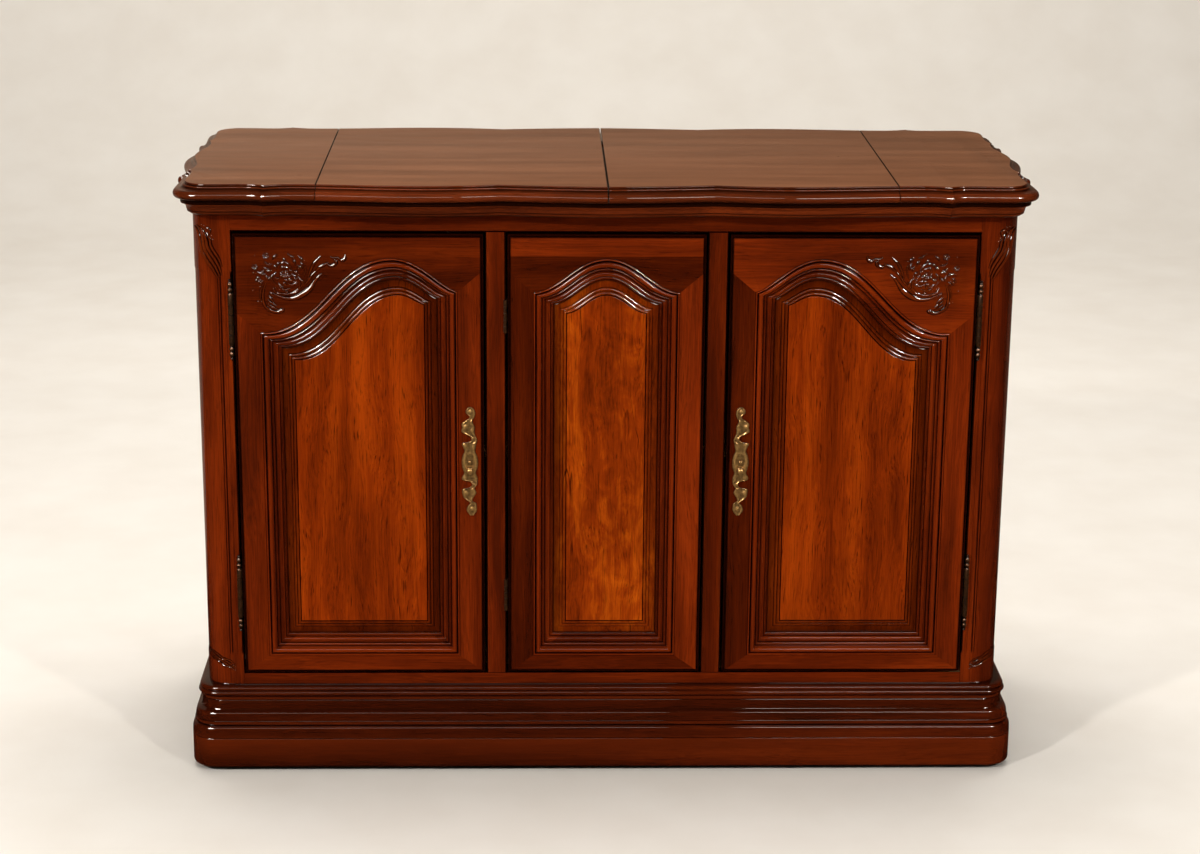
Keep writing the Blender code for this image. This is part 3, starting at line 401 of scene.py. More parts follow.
def wood(name, kind, along="x", frame_of=None, seed=0.0, stains_and_shade=(), shade_and_joint_lines=(), member_light=None):
    """Lacquered wood with streaks, pores and soft patches. Where the mesh asks for it, it is darker, as
    glazing and painted shade, and paler, as wear and painted highlights.

    frame_of is (joint, u, v, facts) of a mitred frame whose members have the grain along their own length:
    along v where joint(n, *facts) gives 1, and along u elsewhere. stains_and_shade are (x, z, half width,
    half height, strength) of darker areas, partly glazing round carving and partly painted shade.
    shade_and_joint_lines are (axis, place) of dark lines, painted shade along door openings and dark joints
    along seams, with a half width where it isn't GAP_SHADE_HALF. member_light is painted light and shade on
    the members of a door frame: left stile, right stile, bottom rail, top rail, and the strip of the top
    rail above a height.
    """
    n = Nodes(bpy.data.materials.new(name))
    if frame_of:
        joint, u, v, facts = frame_of
        chooser = n.add("ShaderNodeMix", data_type="VECTOR")
        ways = grain_vector(n, u, seed), grain_vector(n, v, seed + 0.3)
        for index, value in zip((0, 4, 5), (joint(n, *facts), *ways)):
            n.put(chooser.inputs[index], value)
        straight = chooser.outputs[1]
    else:
        straight = grain_vector(n, along, seed)

    def figure(along_scale, across_scale, vector=None, **settings):
        """Noise drawn out along the grain."""
        scales = (along_scale, across_scale, across_scale)
        return n.noise(n.vector("MULTIPLY", bent if vector is None else vector, scales), **settings)

    sway = (figure(3.5, 14.0, straight) - 0.5) * (0.030 * kind.figure)
    bent = n.vector("ADD", straight, n.joined(0.0, sway, sway))
    streaks = figure(11.0, 520.0, detail=3.0, rough=0.6)
    patches = figure(6.0, 15.0, detail=4.0, rough=0.6)
    value = figure(2.0, 26.0, detail=3.0) * 0.62 + streaks * 0.38
    if kind.burl:
        swirl = figure(17.0, 34.0, detail=6.0, rough=0.62, distortion=1.4)
        value = value * (1 - kind.burl) + swirl * kind.burl
    colour = n.ramp(value, ((0.36, kind.dark), (0.50, kind.middle), (0.64, kind.light)))
    colour = n.shade(colour, patches * (2 * kind.patches) + (1 - kind.patches))
    deep = times(kind.dark, 0.28)
    ticks = ((figure(30.0, 520.0) - 0.59) * 8.0).held()
    pores = ((figure(110.0, 2400.0, detail=1.0) - 0.60) * 5.0).held()
    colour = n.mix(ticks * kind.flecks, colour, deep)
    colour = n.mix(pores * (kind.flecks * 0.7), colour, deep)
    if kind.veins:
        line = ((0.009 - abs(figure(1.7, 30.0, rough=0.35) - 0.5)) * 190.0).held()
        shown = ((patches - 0.46) * 9.0).held()
        colour = n.mix(line * shown * kind.veins, colour, deep)
    place = n.place()
    # Painted light and shade: each member of a door frame's face set lighter or darker
    if member_light:
        left, right, foot, head, strip, height = member_light
        stile = (place[0] > (facts[1][0][0] + facts[1][1][0]) / 2) * (right - left) + left
        rail = (place[2] > DOOR_MIDDLE_Z) * (head - foot) + foot
        rail = (place[2] > height) * (strip - head) + rail
        member = joint(n, *facts) * (stile - rail) + rail
        flat = abs(place[1] - DOOR_FACE_Y) < FIT
        colour = n.shade(colour, flat * (member - 1.0) + 1.0)
    # Darker areas, partly glazing round carving and partly painted shade
    for x, z, wide, high, strength in stains_and_shade:
        across, up = (place[0] - x) * (1 / wide), (place[2] - z) * (1 / high)
        soft = ((1.0 - n.math("SQRT", across * across + up * up)) * 2.0).held()
        colour = n.mix(soft * strength, colour, times(kind.dark, 0.42))
    # Darker above 0 and along the lines, as glazing and painted shade; paler below 0, as wear and painted
    # highlights
    glaze_and_shade = n.glaze_and_shade()
    for axis, at, *half in shade_and_joint_lines:
        off = abs(place["xyz".index(axis)] - at)
        glaze_and_shade = n.math("MAXIMUM", glaze_and_shade, (((half or [GAP_SHADE_HALF])[0] - off) * 900.0).held())
    colour = n.glazed_and_shaded(glaze_and_shade, colour, times(kind.dark, 0.07), times(kind.light, 1.35))
    rough = figure(12.0, 40.0, detail=3.0) * 0.10 + (kind.gloss - 0.05)
    tint = [math.sqrt(c / max(kind.light)) for c in kind.light]
    n.set(Base_Color=colour, Roughness=rough, Coat_Weight=kind.coat, Coat_Roughness=kind.blur, Coat_IOR=1.5,
          Specular_IOR_Level=kind.shine, Specular_Tint=(*tint, 1.0))
    n.bump(streaks * 0.35 - pores * 0.5, 0.08, 0.0005)
    return n.owner


def metal(name, colour, tarnish, rough, metallic=1.0):
    n = Nodes(bpy.data.materials.new(name))
    point = n.point()
    spots = n.noise(point, 260.0, 4.0, 0.6)
    mixed = n.ramp(spots, ((0.40, colour), (0.68, tarnish)))
    mixed = n.glazed_and_shaded(n.glaze_and_shade(), mixed, times(tarnish, 0.10), times(colour, 1.7))
    n.set(Base_Color=mixed, Metallic=metallic, Roughness=spots * 0.18 + rough)
    n.bump(n.noise(point, 1500.0), 0.12, 0.0002)
    return n.owner


def plastic(name, colour, rough, grit, depth):
    n = Nodes(bpy.data.materials.new(name))
    speckle = n.noise(n.point(), grit, 3.0, 0.6)
    tone = n.ramp(speckle, ((0.35, times(colour, 0.75)), (0.65, times(colour, 1.3))))
    n.set(Base_Color=tone, Roughness=speckle * 0.10 + (rough - 0.05))
    n.bump(speckle, 0.25, depth)
    return n.owner


RED = Wood((70, 20, 4), (98, 30, 5), (126, 43, 8))
DARK = Wood((54, 16, 4), (76, 24, 6), (98, 34, 8))
CARVED = Wood((60, 19, 4), (84, 28, 6), (108, 40, 9), gloss=0.18, coat=1.0)
EDGE = Wood((52, 20, 7), (74, 28, 10), (98, 39, 15))
SHADED = Wood((76, 28, 10), (104, 40, 14), (130, 53, 19), gloss=0.34, coat=0.5)
WALNUT = Wood((97, 60, 38), (110, 69, 45), (123, 79, 53), figure=0.9, flecks=0.25, patches=0.10,
              gloss=0.30, coat=0.25, shine=0.2, blur=0.24)
FIELD = Wood((94, 28, 3), (128, 43, 4), (160, 61, 7), figure=1.8, flecks=0.75, patches=0.52,
             veins=0.35)
BURL = Wood((88, 27, 3), (138, 48, 5), (190, 84, 11), figure=2.2, flecks=0.6, burl=0.32, patches=0.44,
            veins=0.8)
PLAIN = Wood((122, 84, 50), (152, 112, 72), (178, 140, 98), gloss=0.48, coat=0.1)

brass = metal("brass_antique", srgb(178, 136, 78), srgb(122, 86, 46), 0.22, 0.6)
hinge_brass = metal("brass_dark", srgb(84, 52, 27), srgb(36, 20, 10), 0.20, 0.6)
zinc = metal("steel_zinc", srgb(186, 186, 182), srgb(140, 140, 136), 0.30)
laminate = plastic("laminate_black", srgb(30, 28, 27), 0.42, 1800.0, 0.0001)
rubber = plastic("rubber_black", srgb(34, 33, 33), 0.62, 900.0, 0.0002)
catch_plastic = plastic("catch_brown", srgb(70, 46, 30), 0.45, 700.0, 0.0001)


# The serpentine outline of the top
BOW_HALF, BOW_RISE = 0.157, 0.014
SWELL_X, SWELL_RISE = 0.272, 0.012
BREAK_X, FOOT_X, BREAK_RISE = TOP_X - 0.141, TOP_X - 0.183, 0.010
BREAK_Y, END_FOOT_Y, END_BREAK_RISE = TOP_Y - 0.139, TOP_Y - 0.177, 0.006
EAR_STEP, EAR_SCOOP, EAR_LOBE, EAR_RADIUS, EAR_SHRINK = 0.003, 0.026, 0.002, 0.040, 0.35
END_LOBE_RISE = 0.012
BREAK_SLOPE = 0.0004


def front_wave(x):
    """How far the front edge stands forward of its valleys, from the middle out to the break."""
    if x <= BOW_HALF:
        return BOW_RISE * (1 - (x / BOW_HALF) ** 1.5)
    if x <= SWELL_X:
        return SWELL_RISE * (1 - ((SWELL_X - x) / (SWELL_X - BOW_HALF)) ** 2)
    if x <= FOOT_X:
        return SWELL_RISE * (0.5 + 0.5 * math.cos(math.pi * (x - SWELL_X) / (FOOT_X - SWELL_X)))
    return BREAK_RISE * ((x - FOOT_X) / (BREAK_X - FOOT_X)) ** 2


def end_wave(y):
    y = abs(y)
    if y <= END_FOOT_Y:
        return END_LOBE_RISE * (0.5 + 0.5 * math.cos(math.pi * y / END_FOOT_Y))
    return END_BREAK_RISE * ((y - END_FOOT_Y) / (BREAK_Y - END_FOOT_Y)) ** 2


def spread(start, end, step):
    """Values from start to end, both included, about a step apart."""
    count = max(1, round(abs(end - start) / step))
    return [start + (end - start) * i / count for i in range(count + 1)]


def front_run(x0, x1, inset):
    valley = TOP_Y - BOW_RISE - inset
    stops = [x0] + [x for x in (BOW_HALF, SWELL_X, FOOT_X) if x0 < x < x1] + [x1]
    xs = [x0] + [x for a, b in zip(stops, stops[1:]) for x in spread(a, b, 0.008)[1:]]
    return [(x, -valley - front_wave(x)) for x in xs]


def ear_side(start, rise, lobe_at):
    """Side of an ear from its break to its corner: a scoop, then a low lobe."""
    points = []
    for i in range(8):
        t = i / 8
        points.append((start + EAR_SCOOP * t, (rise - EAR_STEP) * (1 - t) ** 2))
    for i in range(6):
        t = i / 6
        x = start + EAR_SCOOP + (lobe_at - start - EAR_SCOOP) * t
        points.append((x, EAR_LOBE * (0.5 - 0.5 * math.cos(math.pi * t))))
    return points


def corner_run(inset):
    valley_x = TOP_X - END_LOBE_RISE - inset
    valley_y = TOP_Y - BOW_RISE - inset
    radius = EAR_RADIUS - inset * EAR_SHRINK
    centre_x, centre_y = valley_x + EAR_LOBE - radius, valley_y + EAR_LOBE - radius
    points = [(x, -valley_y - out) for x, out in ear_side(BREAK_X, BREAK_RISE, centre_x)]
    points += arc(centre_x, -centre_y, radius, -90, 0, 18)
    side = ear_side(BREAK_Y + BREAK_SLOPE, END_BREAK_RISE, centre_y)
    points += [(valley_x + out, -y) for y, out in reversed(side)]
    ys = spread(BREAK_Y, END_FOOT_Y, 0.006)[:-1] + spread(END_FOOT_Y, 0.0, 0.008)
    return points + [(valley_x + end_wave(y), -y) for y in ys]


def with_back(points):
    return points + [(x, -y) for x, y in reversed(points) if abs(y) > 1e-9]


def end_outline(inset):
    run = front_run(SEAM_X + HINGE_SEAM / 2, BREAK_X - BREAK_SLOPE, inset) + corner_run(inset)
    return with_back(run)


def leaf_outline(inset):
    return with_back(front_run(MIDDLE_SEAM / 2, SEAM_X - HINGE_SEAM / 2, inset))


def full_outline(inset):
    right = with_back(front_run(0.0, BREAK_X - BREAK_SLOPE, inset) + corner_run(inset))
    return right + [(-x, y) for x, y in reversed(right)][1:-1]


LEAF_THICK = HEIGHT - LEAF_BOTTOM
# Edge of the leaves: inset from the outermost line, and drop from the face. The third value darkens the
# quirk and the hollow (glazing and painted shade) and the underside (painted shade), and paints a highlight
# along the nose
LEAF_EDGE = profile(
    (0.0172, 0.0), ("out", (0.0160, 0.0012), 3), (0.0157, 0.0030, 0.75), (0.0145, 0.0032, 0.95),
    (0.0142, 0.0038, -0.1), ("out", (0.0130, 0.0048, -0.25), 3), (0.0122, 0.0058, 0.85),
    ("in", (0.0060, 0.0090, 0.10), 6), ("out", (0.0, 0.0160, -0.5), 10),
    ("in", (0.0050, LEAF_THICK, 0.95), 8))
# Edge of the sub top. Its third value paints shade where it lies under the top, and darkens its quirks
SUB_TOP_EDGE = profile(
    (0.0096, 0.0, 0.95), (0.0094, 0.0062, 0.95), (0.0096, 0.0066, 1.0), (0.0098, 0.0078, 0.0),
    ("out", (0.0172, 0.0176, 0.15), 9), (0.0180, 0.0182, 1.0), (0.0180, 0.0206, 0.2),
    ("in", (0.0194, 0.0220, 0.4), 3), (0.0220, SUB_TOP_THICK, 0.9))
TOP_SPAN = (mitre, "x", "y", (TOP_X, TOP_Y))
BARREL_RADIUS, BARREL_DEPTH, BARREL_DROP, BARREL_Y = 0.0065, 0.016, 0.010, 0.150
# Half widths of the dark lines along the seams
HINGE_SEAM_LINE, MIDDLE_SEAM_LINE = 0.0018, 0.0022


def bore(sign, inward, y):
    """A round hole for a hinge barrel in a seam face. inward is 1 in a fixed end and -1 in a leaf."""
    sense = sign * inward
    start = sign * SEAM_X
    end = start + sense * (HINGE_SEAM / 2 + BARREL_DEPTH + FIT)
    low, high = sorted((start, end))
    ends = [(BARREL_RADIUS + FIT, low), (BARREL_RADIUS + FIT, high)]
    return turned("bore", ends, (0.0, y, HEIGHT - BARREL_DROP), "X", 48)


def top():
    for sign, word in ((-1, "left"), (1, "right")):
        for outline, node, body, seed, inward in (
                (end_outline, word + "_top_end", "case", 1.3 + sign, 1),
                (leaf_outline, word + "_leaf", word + "_flip_leaf", 4.7 + sign * 0.4, -1)):
            rings = [level(outline(inset), HEIGHT - drop, sign) for inset, drop, _ in LEAF_EDGE]
            made = skin("fine_" + node, rings, glaze_and_shade=glaze_and_shade_of(LEAF_EDGE))
            cut(made, [bore(sign, inward, y) for y in (-BARREL_Y, BARREL_Y)])
            seams = (("x", sign * SEAM_X, HINGE_SEAM_LINE), ("x", 0.0, MIDDLE_SEAM_LINE))
            face = wood(node + "_face", WALNUT, "x", seed=seed, shade_and_joint_lines=seams)
            edge = wood(node + "_edge", EDGE, "x", TOP_SPAN, seed + 2)
            dress(made, body, (edge, face), node)
            for polygon in made.data.polygons:
                if abs(polygon.normal.z) > 0.99 and polygon.area > 0.01:
                    polygon.material_index = 1
    rings = [level(full_outline(inset), SUB_TOP_Z - drop) for inset, drop, _ in SUB_TOP_EDGE]
    made = skin("fine_sub_top", rings, glaze_and_shade=glaze_and_shade_of(SUB_TOP_EDGE))
    low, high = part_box("serving_surface")
    cut(made, [box_piece("pocket", [c - FIT for c in low], (high.x + FIT, high.y + FIT, HEIGHT))])
    dress(made, "case", wood("sub_top_wood", SHADED, "x", TOP_SPAN, 7.1), "sub_top")


# Foot
def rounded_rectangle(half_x, half_y, radius, steps=14):
    points = []
    for cx, cy, start in ((1, -1, -90), (1, 1, 0), (-1, 1, 90), (-1, -1, 180)):
        points += arc(cx * (half_x - radius), cy * (half_y - radius), radius, start, start + 90, steps)
    return points


POST_CORNER = 0.0365
PLINTH_RADIUS, BASE_TOP_RADIUS = 0.038, 0.032
# Base moulding from the plinth board up: projection beyond the case, and height
BASE_EDGE = profile(
    (0.0250, 0.0, 0.7), (0.0250, 0.0010, -0.2), (0.0247, 0.0080), ("in", (0.0208, 0.0182, 0.0), 7),
    (0.0202, 0.0188, 1.0), (0.0200, 0.0204, 0.8), ("out", (0.0214, 0.0228, -0.3), 3),
    ("in", (0.0204, 0.0256, 0.0), 3), (0.0198, 0.0266, 0.9), (0.0198, 0.0272, 0.0),
    ("in", (0.0164, 0.0402, 0.0), 9), (0.0118, 0.0424, 0.4), (0.0105, 0.0450, 0.2), (0.0092, 0.0560, 0.2),
    (0.0086, 0.0568, 1.0), ("out", (0.0112, 0.0596, -0.3), 4), ("in", (0.0100, 0.0628, 0.0), 3),
    (0.0086, 0.0638, 1.0), ("out", (0.0146, 0.0684, -0.1), 5), ("in", (0.0118, 0.0722, 0.2), 4),
    (0.0112, 0.0728, 1.0), ("out", (0.0126, 0.0755, -0.1), 4), ("in", (0.0092, 0.0794, 0.2), 4),
    (0.0040, BASE_TOP - BASE_LOW, 0.95))
# Painted shade: the base and the plinth darker towards their left end
FOOT_SHADE = ((-0.62, 0.03, 0.9, 0.4, 0.38),)


def foot():
    rings = []
    for projection, height, _ in BASE_EDGE:
        radius = PLINTH_RADIUS + (BASE_TOP_RADIUS - PLINTH_RADIUS) * height / (BASE_TOP - BASE_LOW)
        outline = rounded_rectangle(CASE_X + projection, CASE_Y + projection, radius)
        rings.append(level(outline, BASE_LOW + height))
    inner = rounded_rectangle(CASE_X + FIT, CASE_Y + FIT, POST_CORNER + FIT)
    rings += [level(inner, z) for z in (BASE_TOP, BASE_LOW)]
    made = skin("fine_base_moulding", rings, True, glaze_and_shade_of(BASE_EDGE) + [0.6, 0.6])
    span = (mitre, "x", "y", (PLINTH_X, PLINTH_Y))
    finish = wood("base_wood", DARK, "x", span, 9.3, FOOT_SHADE)
    dress(made, "case", finish, "base_moulding")

    edge = profile((0.0014, PLINTH_TOP, 0.3), ("out", (0.0, PLINTH_TOP - 0.0014, -0.4), 3),
                   (0.0, PLINTH_LIFT + 0.006, 0.0), ("in", (0.0035, PLINTH_LIFT, 0.3), 6))
    rings = [level(rounded_rectangle(PLINTH_X - inset, PLINTH_Y - inset, PLINTH_RADIUS - inset), z)
             for inset, z, _ in edge]
    rings += [level(inner, z) for z in (PLINTH_LIFT, PLINTH_TOP)]
    made = skin("fine_plinth", rings, True, glaze_and_shade_of(edge) + [0.5, 0.5])
    finish = wood("plinth_wood", DARK, "x", span, 11.9, FOOT_SHADE)
    dress(made, "case", finish, "plinth_frame")


# Posts
POST_WIDTH = 0.0572
REED_FOOT, REED_HEAD = BASE_TOP + 0.0465, CASE_TOP - 0.0843
COLUMN_FALL = 0.0008
# Front face of a post from its inner edge to the column: distance from the outer side, depth, glaze
POST_FACE = (
    (0.0572, 0.0, 1.0), (0.0556, 0.0, 0.9), (0.0546, 0.0, 0.0), (0.0492, 0.0, 0.0), (0.0485, 0.0006, 0.5),
    (0.0478, 0.0001, 0.0), (0.0440, 0.0, -0.05), (0.0426, 0.0002, 0.0), (0.0415, 0.0014, 0.7),
    (0.0405, 0.0018, 0.95), (0.0396, 0.0010, 0.3), (0.0388, 0.0007, -0.1), (0.0380, 0.0010, 0.3),
    (0.0371, 0.0022, 0.95))


def post_section(carved):
    """Half of the section in (u, v, glaze): u in from the outer side, v in from the face."""
    points = [(u, v * carved, g * carved) for u, v, g in POST_FACE]
    column = arc(POST_CORNER, POST_CORNER, POST_CORNER - COLUMN_FALL * carved, -90, -180, 28)
    points += [(u, v, 0.0) for u, v in column]
    side = [(v, u, g) for u, v, g in reversed(points[:len(POST_FACE)])]
    return points + side + [(POST_WIDTH, POST_WIDTH, 0.0)]


def posts():
    runout = 0.006
    levels = [(POST_FOOT, 0.0), (REED_FOOT, 0.0)]
    levels += [(REED_FOOT + runout * i / 4, math.sin(math.pi / 2 * i / 4)) for i in range(1, 5)]
    levels += [(REED_HEAD - runout * i / 4, math.sin(math.pi / 2 * i / 4)) for i in range(4, 0, -1)]
    levels += [(REED_HEAD, 0.0), (CASE_TOP, 0.0)]
    for x_sign, x_word in ((-1, "left"), (1, "right")):
        for y_sign, y_word in ((-1, "front"), (1, "rear")):
            node = "%s_%s_post" % (y_word, x_word)
            rings, glaze_and_shade = [], []
            for z, carved in levels:
                section = post_section(carved)
                rings.append([(x_sign * (CASE_X - u), y_sign * (CASE_Y - v), z) for u, v, _ in section])
                glaze_and_shade.append(glaze_and_shade_of(section))
            made = skin("fine_" + node, rings, glaze_and_shade=glaze_and_shade, sharp=40)
            finish = wood(node + "_wood", RED, "z", seed=2.1 * x_sign + 0.7 * y_sign)
            dress(made, "case", finish, node)


# Doors
def bezier(p0, p1, p2, p3, steps):
    points = []
    for i in range(steps):
        t = i / steps
        a, b, c, d = (1 - t) ** 3, 3 * t * (1 - t) ** 2, 3 * t * t * (1 - t), t ** 3
        points.append(tuple(a * p0[k] + b * p1[k] + c * p2[k] + d * p3[k] for k in (0, 1)))
    return points


def ogee(x, spring, peak, ease):
    """An S curve from a spring up to the peak. ease gives its handles as shares of its run and its rise."""
    px, pz = peak
    near, lift, far = ease
    run, rise = x - px, pz - spring
    return bezier((x, spring), (x - run * near, spring + rise * lift), (px + run * far, pz), (px, pz), 36)


def arch_outline(x_left, x_right, bottom, peak, springs, eases):
    """From the foot up the right side, over the peak and down the left, with points close to corners."""
    right = ogee(x_right, springs[1], peak, eases[1])
    left = ogee(x_left, springs[0], peak, eases[0])
    return (lower_run(x_left, x_right, bottom, springs[1]) + right + [peak] + list(reversed(left))
            + lower_left(x_left, bottom, springs[0]))


def lower_run(x_left, x_right, bottom, spring):
    return [(x_left + NEAR, bottom), (x_right - NEAR, bottom), (x_right, bottom), (x_right, bottom + NEAR),
            (x_right, spring - NEAR)]


def lower_left(x_left, bottom, spring):
    return [(x_left, spring - NEAR), (x_left, bottom + NEAR), (x_left, bottom)]


NEAR = 0.0008
STICKING_WIDTH, STICKING_RAIL_SHARE = 0.050, 1.13
DOOR_STILE, DOOR_BOTTOM_RAIL, DOOR_CROWN = 0.0375, 0.027, 0.035
RABBET_AT, LIP_AT, RIM_DEPTH, RIM_THICK = 0.022, 0.030, 0.013, 0.006
OUTER_EASE, INNER_EASE, CENTRE_EASE = (0.435, -0.036, 0.425), (0.270, 0.150, 0.417), (0.380, 0.080, 0.410)
PEAK_SHARE, FIELD_PEAK_SHARE = 0.667, 0.805
# How far the springs of an arch lie under its peak, at the outer and the inner side of a side door
SIDE_DROPS, SIDE_FIELD_DROPS, CENTRE_DROP, CENTRE_FIELD_DROP = (0.112, 0.050), (0.098, 0.014), 0.051, 0.027


class Door:
    """Outlines of one door, all as (x, z)."""

    def __init__(self, x0, x1, peak_share, field_peak_share, drops, field_drops, eases):
        self.x0, self.x1 = x0, x1
        left, right = x0 + DOOR_STILE, x1 - DOOR_STILE
        bottom = DOOR_BOTTOM + DOOR_BOTTOM_RAIL
        peak = (left + (right - left) * peak_share, DOOR_TOP - DOOR_CROWN)
        self.mould = arch_outline(left, right, bottom, peak, [peak[1] - drop for drop in drops], eases)
        left, right = left + STICKING_WIDTH, right - STICKING_WIDTH
        bottom += STICKING_WIDTH * STICKING_RAIL_SHARE
        peak = (left + (right - left) * field_peak_share, peak[1] - STICKING_WIDTH * STICKING_RAIL_SHARE)
        self.field = arch_outline(left, right, bottom, peak, [peak[1] - drop for drop in field_drops], eases)

    def between(self, distance):
        """The outline that lies the given distance in from the moulding's outer line."""
        share = distance / STICKING_WIDTH
        pairs = zip(self.mould, self.field)
        return [(x + (u - x) * share, z + (v - z) * share) for (x, z), (u, v) in pairs]

    def edge(self, inset):
        """The door's outer rectangle, with a point over each point of the arch."""
        x0, x1, z0 = self.x0 + inset, self.x1 - inset, DOOR_BOTTOM + inset
        arch = self.mould[5:-3]
        right, left = arch[0][0], arch[-1][0]
        run = [(x1 + (x - right) / (left - right) * (x0 - x1), DOOR_TOP - inset) for x, _ in arch]
        return lower_run(x0, x1, z0, arch[0][1]) + run + lower_left(x0, z0, arch[-1][1])


# Door edge from the back to the face: inset, depth from the face, and a value that paints shade on its sides
# in the gap round the door
DOOR_EDGE = profile(
    (0.0, DOOR_THICK, 0.9), (0.0, 0.0040, 0.9), (0.0012, 0.0028, 0.9), (0.0029, 0.0027, 1.0),
    (0.0035, 0.0005, 1.0), (0.0041, 0.0, 0.8), (0.0050, 0.0, 0.3), (0.0060, 0.0, 0.0))
# Moulding of the frame from its outer line inward: distance, depth from the door's face
STICKING = profile(
    (-0.0006, 0.0, 0.1), (0.0002, 0.0004, 0.9), ("in", (0.0016, -0.0014, -0.3), 4),
    ("out", (0.0030, 0.0006, 0.5), 3), (0.0034, 0.0014, 1.0), (0.0044, 0.0012, 1.0),
    ("in", (0.0074, -0.0026, -0.3), 7), ("out", (0.0122, 0.0034, 0.1), 7), (0.0128, 0.0044, 1.0),
    (0.0134, 0.0041, 0.7), ("out", (0.0150, 0.0034, -0.15), 4), ("in", (0.0164, 0.0050, 0.4), 3),
    (0.0170, 0.0062, 1.0), (0.0180, 0.0060, 0.7), ("out", (0.0212, 0.0052, -0.15), 4),
    ("in", (0.0246, 0.0076, 0.3), 5), (0.0252, 0.0084, 1.0), ("out", (0.0272, 0.0068, -0.15), 4),
    ("in", (0.0300, 0.0104, 0.8), 5))
# Raised panel from its rim inward
PANEL_RISE = profile(
    (LIP_AT + FIT, RIM_DEPTH + FIT, 0.9), (LIP_AT + FIT, 0.0108, 0.9), (0.0325, 0.0100, 0.75),
    (0.0390, 0.0094, 0.6), (0.0394, 0.0088, 1.0), ("in", (0.0432, 0.0060, 0.4), 7), (0.0436, 0.0063, 1.0),
    (0.0442, 0.0061, 0.8), ("in", (0.0480, 0.0030, 0.4), 7), (0.0484, 0.0035, 1.0), (0.0494, 0.0035, 1.0),
    ("in", (0.0503, 0.0024, 0.0), 3), (0.0516, 0.0024, 0.0))


def at_depth(outline, depth):
    return [(x, DOOR_FACE_Y + depth, z) for x, z in outline]


# Darker areas of the side frames round the carving (glazing and painted shade), a darker band down the left
# of the centre panel, and painted light and shade on the members of each frame
DOOR_GLAZE_AND_SHADE = {"left": ((-0.470, 0.790, 0.13, 0.090, 0.4),), "centre": (),
               "right": ((0.480, 0.785, 0.09, 0.074, 0.5),)}
PANEL_DARK_BANDS = {"centre": ((-0.0835, 0.5, 0.0245, 0.5, 0.55),)}
DOOR_MEMBER_LIGHT = {"left": (1.06, 1.04, 1.02, 0.72, 0.72, 2.0), "centre": (0.52, 1.25, 0.75, 0.50, 1.08, 0.8050),
              "right": (0.58, 1.22, 0.98, 1.20, 1.20, 2.0)}
HEAD_JOINT_SLOPE = 0.85


def door(word, shape, panel_kind, seed):
    body = word + "_door"
    rings = [at_depth(shape.edge(inset), depth) for inset, depth, _ in DOOR_EDGE]
    inner = STICKING + [(LIP_AT, RIM_DEPTH, 0.9), (RABBET_AT, RIM_DEPTH, 0.9), (RABBET_AT, DOOR_THICK, 0.2)]
    rings += [at_depth(shape.between(distance), depth) for distance, depth, _ in inner]
    made = skin("fine_%s_frame" % word, rings, True, glaze_and_shade_of(DOOR_EDGE + inner))
    corners = (shape.mould[-4], shape.mould[5])
    facts = ((shape.x0, shape.x1, DOOR_BOTTOM), corners, (DOOR_BOTTOM_RAIL / DOOR_STILE, HEAD_JOINT_SLOPE))
    finish = wood(word + "_frame_wood", RED, "x", (door_mitre, "x", "z", facts), seed,
                  DOOR_GLAZE_AND_SHADE[word], member_light=DOOR_MEMBER_LIGHT[word])
    dress(made, body, finish, body + "_frame")

    ease = 0.6 if word == "centre" else 1.0
    seat = RIM_DEPTH + FIT
    rows = [(RABBET_AT + FIT, seat + RIM_THICK, 0.2), (RABBET_AT + FIT, seat, 0.9)]
    rows += [(distance, depth, g if g > 0.85 else g * ease) for distance, depth, g in PANEL_RISE]
    rings = [at_depth(shape.between(distance), depth) for distance, depth, _ in rows]
    made = skin("fine_%s_panel" % word, rings, glaze_and_shade=glaze_and_shade_of(rows))
    finish = wood(word + "_panel_wood", panel_kind, "z", None, seed + 3.3, PANEL_DARK_BANDS.get(word, ()))
    dress(made, body, finish, body + "_panel")


SIDE_DOOR_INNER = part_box("right_door_frame")[0].x
SIDE_DOOR_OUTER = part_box("right_door_frame")[1].x
CENTRE_DOOR_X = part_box("centre_door_frame")[1].x


def doors():
    for sign, word in ((-1, "left"), (1, "right")):
        x0, x1 = sorted((sign * SIDE_DOOR_INNER, sign * SIDE_DOOR_OUTER))
        shares = [share if sign < 0 else 1 - share for share in (PEAK_SHARE, FIELD_PEAK_SHARE)]
        drops = [pair[::-sign] for pair in (SIDE_DROPS, SIDE_FIELD_DROPS, (OUTER_EASE, INNER_EASE))]
        shape = Door(x0, x1, *shares, *drops)
        door(word, shape, FIELD, 20.3 + 3.1 * sign)
    drops = [(value, value) for value in (CENTRE_DROP, CENTRE_FIELD_DROP, CENTRE_EASE)]
    shape = Door(-CENTRE_DOOR_X, CENTRE_DOOR_X, 0.5, 0.5, *drops)
    door("centre", shape, BURL, 31.7)


